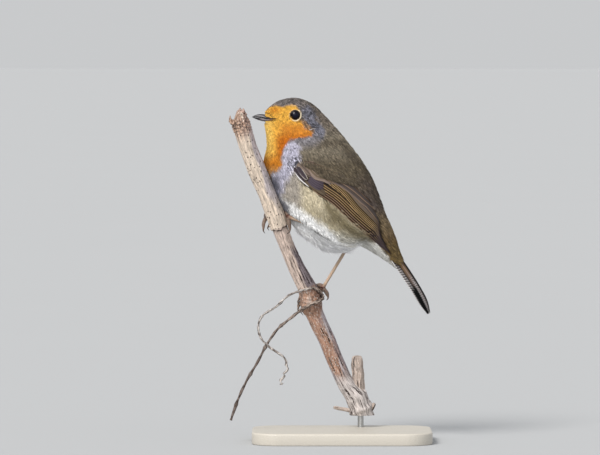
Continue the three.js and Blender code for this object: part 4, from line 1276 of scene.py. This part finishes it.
def open_feathers(u, angle, heading, length, lift, droop, wide, colours, seed):
    """Feathers that leave the body: five blades in each, set off straight along the surface's own tangent at
    the root, so they bridge a fold; they rise by lift at the middle and fall by droop at the tip."""
    draw = np.random.default_rng(seed)
    blades = 5
    count = len(u) * blades

    def each(values):
        """A feather's values, once for each of its blades."""
        return np.repeat(np.broadcast_to(values, (len(u),) + np.shape(values)[1:]), blades, axis=0)

    point, normal, along, across = surface(u, angle)
    way = each(heading) + draw.normal(0, 0.13, count)
    sideways = each(unit(across))
    ahead = each(unit(along)) * np.cos(way)[:, None] + sideways * np.sin(way)[:, None]
    normal = each(normal)
    start = each(point) + sideways * draw.normal(0, 0.25, (count, 1))
    reach, up, down = (
        (each(v) * draw.uniform(low, high, count))[:, None]
        for v, low, high in ((length, 0.7, 1.1), (lift, 0.5, 1.3), (droop, 0.3, 1.4)))
    shade = draw.normal(0, 0.10, count) + each(draw.normal(0, 0.07, len(u)))
    tints = np.minimum(each(colours) * np.exp(shade)[:, None], 0.92)
    return loose_shell(start - normal * 0.5, start + ahead * reach * 0.55 + normal * up,
                       start + ahead * reach + normal * (up - down), normal,
                       wide * draw.uniform(0.7, 1.2, count), tints, each(skin_home(u, angle)))


def make_open_feathers():
    """The white flank feathers that hang over the fold on each side, long silky ones under the belly, and
    the fluffy cuff round the top of the right leg."""
    draw = np.random.default_rng(61)
    count = 420
    u = draw.uniform(8.0, 11.5, count)
    rise = crease_height(u) + draw.uniform(-0.005, 0.055, count)
    side = np.where(draw.random(count) < 0.5, -1.0, 1.0)
    angle = PI - side * (PI - np.arccos(np.clip(2 * rise - 1, -1, 1)))
    white = 0.75 * ramp(u, 11.0, 10.2) * draw.uniform(0.6, 1, count)
    tints = lay(markings(surface(u, angle)[0]), (262, 262, 262, white))
    fringe = open_feathers(u, angle, side * draw.uniform(0.1, 0.5, count), draw.uniform(3.6, 5.6, count),
                           [0.45], [0.8], 0.46, tints, 62)
    count = 520
    u = draw.uniform(8.3, 11.9, count)
    angle = PI + np.clip(draw.normal(0, 0.42, count), -0.75, 0.75)
    tints = lay(tone(274, 274, 275), (160, 162, 170, draw.random(count) ** 2 * 0.45))
    silk = open_feathers(u, angle, draw.normal(0, 0.16, count), draw.uniform(4.5, 7.5, count),
                         [0.55], [0.5], 0.40, tints, 63)
    count = 150
    u = draw.uniform(8.6, 10.9, count)
    angle = PI + draw.uniform(-0.55, 0.55, count)
    tints = lay(tone(272, 272, 273), (186, 188, 194, draw.random(count) * 0.5))
    wisps = open_feathers(u, angle, draw.normal(0, 0.2, count), draw.uniform(5.5, 9.5, count),
                          draw.uniform(0.4, 1.1, count), draw.uniform(-1.2, 0.2, count), 0.30, tints, 64)
    make_piece("loose_belly_feathers", join([fringe, silk, wisps]), PLUMAGE, even=False)
    count = 260
    turn = draw.uniform(0, 2 * PI, count)
    down = unit(np.array([1.6, -1.4, -4.9]))
    first = unit(np.cross(down, [0, 1, 0]))
    out = first * np.cos(turn)[:, None] + np.cross(down, first) * np.sin(turn)[:, None]
    thigh = np.array([1.5, 8.6, 102.5])
    root = thigh + out * 1.9
    share = draw.uniform(0.75, 1.0, count)[:, None]
    tip = thigh + down * 6.8 * share + out * mix(1.9, 0.85, share)
    tints = tone(236, 234, 226) * np.exp(draw.normal(0, 0.14, (count, 1)))
    home = pack(0.5 + 0.4 * np.cos(turn), 0.5 + 0.4 * np.sin(turn))
    wide = draw.uniform(0.4, 0.65, count)
    cuff = loose_shell(root, (root + tip) / 2 + out * 0.35, tip, out, wide, tints, home)
    make_piece("leg_cuff", cuff, PLUMAGE, even=False)


def make_face_details(name, side):
    """The ring of tiny pale feathers round the eye, broken above and in front, the dark bristles that run
    back from the corner of the mouth, and a few white and black streaks behind the cheek."""
    draw = np.random.default_rng(71)
    shells = []

    def on_face(x, z, height):
        """Points of the head that stand out from its side."""
        return pack(x, side * (flank(x, z) + height), z)

    def around(turn, radius, height):
        """Points round the eye."""
        return on_face(EYE["x"] + radius * np.cos(turn), EYE["z"] + radius * np.sin(turn) * 0.96, height)

    def add(root, middle, tip, thin, thick, colours, x, z):
        """Blades whose width is drawn between two, at home where they stand in a side view of the head."""
        outward = np.broadcast_to([0, side, 0], root.shape)
        wide = draw.uniform(thin, thick, len(root))
        home = pack((x + 46) / 30, (z - 150) / 30)
        colours = np.broadcast_to(colours, root.shape)
        shells.append(loose_shell(root, middle, tip, outward, wide, colours, home))

    count = 260
    turn = draw.uniform(0, 2 * PI, count)
    start = EYE["visible"] + draw.uniform(-0.02, 0.22, count)
    lean = draw.uniform(0.15, 0.4, count)
    pale = (0.25 + 0.75 * ramp(np.cos(turn + 0.55), -0.35, 0.45)) * draw.uniform(0.75, 1.0, count)
    colours = lay(markings(around(turn, start + 0.3, 0.0)), (255, 240, 208, pale),
                  (70, 54, 40, (draw.random(count) < 0.16) * 0.7))
    add(around(turn, start, -0.1), around(turn + lean * 0.5, start + 0.3, 0.34),
        around(turn + lean, start + 0.62, 0.1), 0.3, 0.46, colours,
        EYE["x"] + np.cos(turn), EYE["z"] + np.sin(turn))
    count = 26
    x = draw.uniform(-37.0, -34.6, count)
    z = 161.75 + draw.normal(0, 0.12, count)
    reach = draw.uniform(1.4, 3.0, count)
    slope = draw.normal(-0.02, 0.10, count)
    add(on_face(x, z, 0.7), on_face(x + reach * 0.5, z + reach * slope * 0.35, 0.9),
        on_face(x + reach, z + reach * slope, 0.5), 0.14, 0.26, tone(58, 42, 32), x, z)
    count = 16
    x = draw.uniform(-17.0, -14.2, count)
    above = draw.uniform(-0.6, 1.0, count)
    z = 156.3 + 0.35 * (x + 16.1) + above
    reach = draw.uniform(1.0, 2.0, count)
    colours = np.where(above[:, None] > 0.1, tone(62, 58, 64), tone(190, 184, 182))
    add(on_face(x, z, 0.2), on_face(x + reach * 0.5, z + reach * 0.2, 0.75),
        on_face(x + reach, z + reach * 0.3, 0.45), 0.16, 0.26, colours, x, z)
    make_piece(f"face_details_{name}", join(shells), PLUMAGE, even=False)


# ---------------------------------------------------------------- stem, vine and legs
STEM_UP = unit(np.array([-0.41, STEM_LEAN[1], 1.0]))
STEM_RIGHT = unit(np.array([1.0, 0, 0]) - STEM_UP * STEM_UP[0])
STEM_BACK = np.cross(STEM_UP, STEM_RIGHT)


def stem_axis(height):
    """The stem's middle at a height, and its radius, by straight lines between the sections."""
    x, radius = (np.interp(height, STEM[:, 0], STEM[:, k]) for k in (1, 2))
    return pack(x, STEM_LEAN[0] + STEM_LEAN[1] * height, height), radius


def by_stem(height, degrees, distance):
    """A point beside the stem: 0 degrees faces the bird, 90 the far side."""
    angle = np.radians(degrees)
    way = STEM_RIGHT * np.cos(angle)[..., None] + STEM_BACK * np.sin(angle)[..., None]
    return stem_axis(height)[0] + way * np.asarray(distance)[..., None]


def stem_tint(height, angle, wander):
    """The stem's colour and wear by height and by angle round it, 0 towards the bird: cream above, a rusty
    peeled strip below the joint, and grey with cracks at the foot. The bird's side, away from the light, has
    painted shade over it: lavender grey high up, darker grey below the bird and greyer at the foot."""
    right = np.cos(angle) + wander * 0.5
    front = np.cos(angle + PI / 2) + wander * 0.5
    top = ramp(height, 150, 158)
    rusty = ramp(height, 78, 75) * ramp(height, 28, 36) * ramp(front, 0.45, 0.75)
    rusty = np.maximum(rusty, 0.85 * ramp(height, 63, 66) * ramp(height, 78.5, 76.5) * (wander > -0.45))
    tint = lay(
        tone(224, 206, 188),
        # Painted shade on the bird's side, away from the light: lavender grey high up.
        (184, 176, 184, ramp(right, 0.1, 0.7) * ramp(height, 112, 126) * 0.8),
        (206, 186, 174, ramp(height, 108.6, 107.8)),
        # Painted shade: darker grey on the bird's side below the bird.
        (106, 98, 108, ramp(right, -0.1, 0.5) * ramp(height, 101, 93) * 0.85),
        (178, 166, 168, ramp(height, 66, 63)),
        (170, 130, 107, rusty * 0.9),
        # Painted shade: greyer on the bird's side low down.
        (140, 128, 134, ramp(right, 0.3, 0.75) * ramp(height, 64, 60) * 0.6),
        (204, 196, 192, ramp(height, 36, 28) * 0.8),
        (170, 132, 110, 0.75 * top * (wander > -0.5)),
    )
    tint = paint(tint, tint * 0.8, ramp(height, 64, 67) * ramp(height, 79, 76))
    low, middle = ramp(height, 66, 60), ramp(height, 108, 98) * ramp(height, 76, 80)
    cracks = 0.3 + 0.65 * low + 0.7 * middle * ramp(right, -0.5, 0.1)
    cracks = cracks + 0.25 * ramp(height, 30, 22) + 0.4 * top
    flecks = 0.2 + 0.75 * rusty + 0.5 * low + 0.5 * ramp(height, 152, 158)
    return tint, np.clip(pack(flecks, cracks, ramp(height, 106, 110) + 0.35), 0, 1)


def make_stem(material):
    """The stem: rings up its axis, with long fibres and cracks as waves round the ring that wander with
    height, a torn ledge below the upper foot with painted shade under it, a swollen joint and a knobbly
    broken top with one thin prong and painted shade in its hollows; and its side shoots, stubs with rough
    ends."""
    height = np.concatenate([np.linspace(10.0, STEM_TOP, 620), np.full(8, STEM_TOP)])[:, None]
    shrink = np.concatenate([np.ones(620), np.linspace(0.92, 0.08, 8)])[:, None]
    angle = turns(120)
    c, s = np.cos(angle), np.sin(angle)
    soft = stem_axis(height)[1] * 0.5 + (stem_axis(height + 0.8)[1] + stem_axis(height - 0.8)[1]) * 0.25
    ledge = STEM_LEDGE["height"] - 0.7 * np.cos(angle + 1.4) + 0.35 * np.sin(5 * angle)
    ledge = ledge + 0.2 * np.sin(11 * angle + 1)
    step = mix(STEM_LEDGE["below"], STEM_LEDGE["above"], ramp(height, ledge - 0.12, ledge + 0.12))
    step = step - 0.12 * bell(height, ledge - 0.5, 0.3)
    radius = np.where((height > 104.5) & (height < 111.5), step, soft)
    drum = pack(c, s, height / 60)
    fibres = ripple(drum, 0.42, 41) * 0.10 + ripple(drum, 0.16, 42) * 0.07
    wander = ripple(drum * [1, 1, 4], 0.9, 43)
    shaded = ramp(height, 76, 82) * ramp(height, 106, 98) * ramp(c, -0.4, 0.2)
    cracks = -0.45 * bell(ripple(drum * [1, 1, 2], 0.5, 46), 0, 0.085)
    cracks = cracks * np.maximum(shaded, ramp(height, 34, 26) * 0.8)
    rough_top = ripple(drum * [2.4, 2.4, 80], 1.0, 44) * 0.55 * ramp(height, 152, 159)
    knot = ripple(drum * [1.5, 1.5, 30], 0.9, 45) * 0.45 * ramp(height, 64, 66) * ramp(height, 77, 74)
    ring_low = 0.9 * bell(height, 15.5 + 0.6 * np.sin(3 * angle), 1.3)
    r = (radius * (1 + 0.02 * np.cos(5 * angle)) + fibres + cracks + rough_top + knot + ring_low) * shrink
    rings = by_stem(height, np.degrees(angle), r)
    across, back = r * c, r * s
    knobs = ripple(pack(across, back), 1.9, 47) * 0.9
    broken = mix(-3.4, 0.5, ramp(across, -1.9, 0.4)) - 0.9 * ramp(across, 3.6, 4.6) + knobs * 0.8
    broken += 3.4 * bell(across, -3.7, 0.75) * bell(back, 0, 1.4)
    rings[..., 2] += broken * ramp(height, 159, STEM_TOP) ** 2 - across * 0.12 * ramp(height, 158, STEM_TOP)
    tint, wear = stem_tint(height, angle, wander)
    tint = lay(
        tint,
        (58, 44, 40, np.clip(-cracks * 2.2, 0, 1)),
        # A dark band of painted shade just under the ledge where the torn skin ends.
        (62, 46, 38, bell(height, ledge - 0.35, 0.35) * 0.9),
        # Darker in the low hollows of the broken top: painted shade.
        (66, 48, 42, ramp(knobs, 0.1, -0.8) * ramp(height, 163.8, STEM_TOP) * 0.8),
    )
    tubes = [(rings, pack(c * 4.4 * shrink, s * 4.4 * shrink, height), tint, wear)]
    shoots = [
        ([[20, 8, 1], [27, 8, 6], [32.5, 8, 8.8], [38, 8, 10.9]], 3.1, 2.8),
        ([[15.2, 190, 1], [17, 190, 6], [21.2, 190, 12.7]], 1.1, 0.8),
        ([[12.8, -5, 1.5], [13.3, -5, 5.2], [15.6, -5, 7.7]], 1.1, 0.9),
    ]
    share, angle = shares(111), turns(56)
    spot = pack(2 * np.cos(angle), 2 * np.sin(angle), share * 14)
    rough = 1 + 0.10 * ripple(spot, 2.2, 48) + 0.06 * ripple(spot * [2, 2, 0.4], 1.5, 49)
    rough = rough * np.sqrt(np.clip(1.02 - share ** 24, 0.05, 1))
    for rows, thick, thin in shoots:
        shoot = path_rings(by_stem(*np.transpose(rows)), mix(thick, thin, share) * rough)
        tubes.append((*shoot, tone(184, 168, 158), np.array([0.6, 1.0, 0.3])))
    shells = []
    for rings, grain, tint, wear in tubes:
        rings[..., 2] = np.maximum(rings[..., 2], STEM_BOTTOM)
        shells.append(ring_shell(rings, grain=grain, tint=tint, wear=wear))
    make_piece("stem", join(shells), material, ["perch_stem"])


def make_vine(material):
    """The vine: a twisted tube along its path, thicker over the stem and with small swellings, silvery in
    its free curl and darker below. The last part of the curl wriggles and ends in a small hook."""
    height, degrees = VINE_HAIRPIN.T
    hairpin = by_stem(height, degrees, stem_axis(height)[1] + VINE_HUG)
    share, angle = shares(901), turns(16)
    over = ramp(share, 0.42, 0.52) * ramp(share, 0.80, 0.66)
    knots = bell(np.mod(share * 17, 1.0), 0.5, 0.06) * 0.4
    thick = VINE_RADIUS * (0.85 + 0.5 * over + 0.2 * ramp(share, 0.66, 0.8) + knots)
    twist = 1 + 0.18 * np.cos(2 * angle - share * 200) + 0.08 * np.sin(5 * angle + share * 90)
    rings, grain = path_rings(np.concatenate([VINE_CURL, hairpin, VINE_LOWER]), thick * twist)
    wriggle = ramp(share, 0.12, 0.05) * ramp(share, 0.0, 0.01)
    rings[..., 0] += wriggle * 0.7 * np.sin(share * 190)
    rings[..., 2] += wriggle * 0.4 * np.cos(share * 150)
    tint = lay(tone(226, 218, 212), (186, 168, 156, ramp(share, 0.36, 0.5)),
               (132, 120, 114, ramp(share, 0.68, 0.9)))
    make_piece("vine", ring_shell(rings, grain=grain, tint=tint), material, ["perch_vine"])


def make_leg(name, material, claw_material):
    """A leg's bare parts as one piece, tarsus and four toes, and its claws: tubes along their paths, whose
    radius steps up at each scute, swells in waves at the pads, and closes at the tips."""
    leg = LEGS[name]
    rise, degrees, distance = leg["joint"]
    joint = by_stem(rise, degrees, distance)
    heel = np.array(leg["heel"])

    def beside(rows):
        """Points beside the stem from rows whose heights count from the joint."""
        height, turned, off = np.transpose(rows)
        return by_stem(rise + height, turned, off)

    def tube(path, radius, start, end, share):
        """A tube whose colour changes from start to end by a share at each ring."""
        rings, grain = path_rings(path, radius)
        return ring_shell(rings, grain=grain, tint=lay(tone(*start), (*end, share)))

    share = shares(151)
    ends = 1 + 0.35 * ramp(share, 0.12, 0) + 0.3 * ramp(share, 0.85, 1)
    scutes = 1 + 0.035 * (np.mod(share * 9, 1.0) - 0.5)
    radius = TARSUS_RADIUS * ends * scutes * (1 + 0.10 * np.cos(2 * turns(20)))
    path = [joint, mix(joint, heel, 0.35), mix(joint, heel, 0.7), heel, heel + unit(heel - joint) * 2]
    red = (102, 64, 54)
    skin = [tube(path, radius, (208, 180, 154), red, ramp(share, 0.12, 0.0))]
    claws = []
    for digit, rows in leg["toes"].items():
        path = beside(rows)
        path = np.concatenate([[joint + (path[0] - joint) * 0.2], path])
        share = shares(91)
        pads = 0.08 * np.cos(share * 6 * PI)
        scutes = 0.04 * (np.mod(share * 14, 1.0) - 0.5)
        end = np.sqrt(np.clip(1.04 - share ** 12, 0.05, 1))
        radius = TOE_RADIUS * (1.6 - 0.3 * share + pads + scutes) * end
        skin.append(tube(path, radius + np.zeros(16), (124, 106, 94), red, 0.8 * ramp(share, 0.3, 0.0)))
        path = np.concatenate([[mix(path[-1], path[-2], 0.08)], beside(leg["claws"][digit])])
        share = shares(41)
        radius = CLAW_RADIUS * (1.45 - 1.3 * share ** 1.2)
        claw = tube(path, radius + np.zeros(14), (132, 108, 92), (38, 30, 30), share)
        del claw["grain"]
        claws.append(claw)
    toes = [f"toe_{name}_{digit}" for digit in leg["toes"]]
    make_piece(f"leg_skin_{name}", join(skin), material, [f"tarsus_{name}", *toes])
    make_piece(f"claws_{name}", join(claws), claw_material,
               [f"claw_{name}_{digit}" for digit in leg["claws"]])


# ---------------------------------------------------------------- stand, floor, lights and camera
def make_stand():
    """The plate: its rounded outline carried over an eased edge and a top that is flat; and the rod."""
    corner, ease, thick = BASE["corner"], BASE["ease"], BASE["thick"]
    turn = (np.linspace(0, PI / 2, 13) + np.arange(4)[:, None] * PI / 2).ravel()
    away = pack(np.cos(turn), np.sin(turn))
    middle = np.array([BASE["length"], BASE["depth"]]) / 2 - corner
    outline = np.repeat([[1, 1], [-1, 1], [-1, -1], [1, -1]], 13, axis=0) * middle + away * corner
    bend = np.linspace(0, PI / 2, 7)
    inset = np.concatenate([[0.5, 0.15, 0.0], ease * (1 - np.cos(bend)), [6.0, corner]])
    z = np.concatenate([[0.0, 0.15, 0.5], thick - ease + ease * np.sin(bend), [thick, thick]])
    flat = outline - away * inset[:, None, None]
    rings = pack(flat[..., 0], flat[..., 1], z[:, None])
    make_piece("base_plate", ring_shell(rings), plate_material(), ["stand_base"])
    low, high = ROD["low"], ROD["high"]
    middle, _ = stem_axis((STEM_BOTTOM + high) / 2)
    z = np.array([low, low + 0.2, *np.linspace(low + 0.4, high - 0.4, 12), high - 0.2, high])[:, None]
    r = ROD["radius"] - np.maximum(0.25 - np.minimum(z - low, high - z), 0)
    rings = pack(middle[0] + r * np.cos(turns(40)), middle[1] + r * np.sin(turns(40)), z)
    make_piece("rod", ring_shell(rings), rod_material(), ["stand_rod"])


def stand_in_scene(name, data):
    """An object of its own in the scene."""
    obj = bpy.data.objects.new(name, data)
    bpy.context.scene.collection.objects.link(obj)
    return obj


def make_floor():
    """A very large plain floor, a level grid just under the plate."""
    reach, lines, below = 60000.0, 21, 0.02
    place = np.linspace(-reach, reach, lines)
    points = pack(place[:, None], place, -below).reshape(-1, 3) * MM
    index = np.arange(len(points)).reshape(lines, lines)
    faces = pack(index[:-1, :-1], index[1:, :-1], index[1:, 1:], index[:-1, 1:]).reshape(-1, 4)
    mesh = bpy.data.meshes.new("floor")
    mesh.from_pydata(points.tolist(), [], faces.tolist())
    mesh.materials.append(floor_material())
    stand_in_scene("floor", mesh)


def make_sun(name, place, strength, softness, colour):
    """A distant soft light that shines from a place towards the bird; softness is the angle it fills."""
    lamp = bpy.data.lights.new(name, "SUN")
    lamp.energy = strength
    lamp.angle = math.radians(softness)
    lamp.color = colour
    obj = stand_in_scene(name, lamp)
    obj.location = place
    obj.rotation_euler = Vector(place).to_track_quat("Z", "Y").to_euler()


AIM = (-0.021, 0.0, 0.10725)
CAMERA = {"distance": 2.5, "elevation": 2.0, "lens": 300.0, "sensor": 36.0}


def make_studio():
    """Soft lights from the upper left front, a pale world and the camera."""
    make_sun("key", (-1.0, -1.5, 1.7), 3.4, 24, (1.0, 0.97, 0.92))
    make_sun("fill", (1.6, -1.0, 0.5), 0.35, 70, (0.92, 0.96, 1.0))
    make_sun("front", (-0.3, -1.5, 0.0), 1.15, 60, (1.0, 0.99, 0.98))
    world = bpy.data.worlds.new("pale studio")
    world.use_nodes = True
    sky = world.node_tree.nodes["Background"].inputs
    sky["Color"].default_value = (0.97, 0.985, 1.0, 1)
    sky["Strength"].default_value = 0.60
    bpy.context.scene.world = world
    camera = bpy.data.cameras.new("camera")
    camera.lens = CAMERA["lens"]
    camera.sensor_width = CAMERA["sensor"]
    obj = stand_in_scene("camera", camera)
    tilt = math.radians(CAMERA["elevation"])
    back = CAMERA["distance"]
    obj.location = (AIM[0], AIM[1] - back * math.cos(tilt), AIM[2] + back * math.sin(tilt))
    obj.rotation_euler = (PI / 2 - tilt, 0, 0)
    bpy.context.scene.camera = obj
    bpy.context.scene.view_settings.view_transform = "Standard"


make_skin()
make_coat()
make_open_feathers()
for wing_name, wing_side in SIDES.items():
    make_wing(wing_name, wing_side)
make_tail()
BILL_HORN = horn_material("bill horn", 0.35, 0.85, 1.15)
CLAW_HORN = horn_material("claw horn", 0.4, 0.8, 1.2)
LEG_SKIN = leg_material()
make_bill(BILL_HORN)
EYE_WET = eye_material()
for eye_name, eye_side in SIDES.items():
    make_eye(eye_name, eye_side, EYE_WET, CLAW_HORN)
    make_face_details(eye_name, eye_side)
for leg_name in LEGS:
    make_leg(leg_name, LEG_SKIN, CLAW_HORN)
make_stem(bark_material())
make_vine(vine_material())
make_stand()
make_floor()
make_studio()
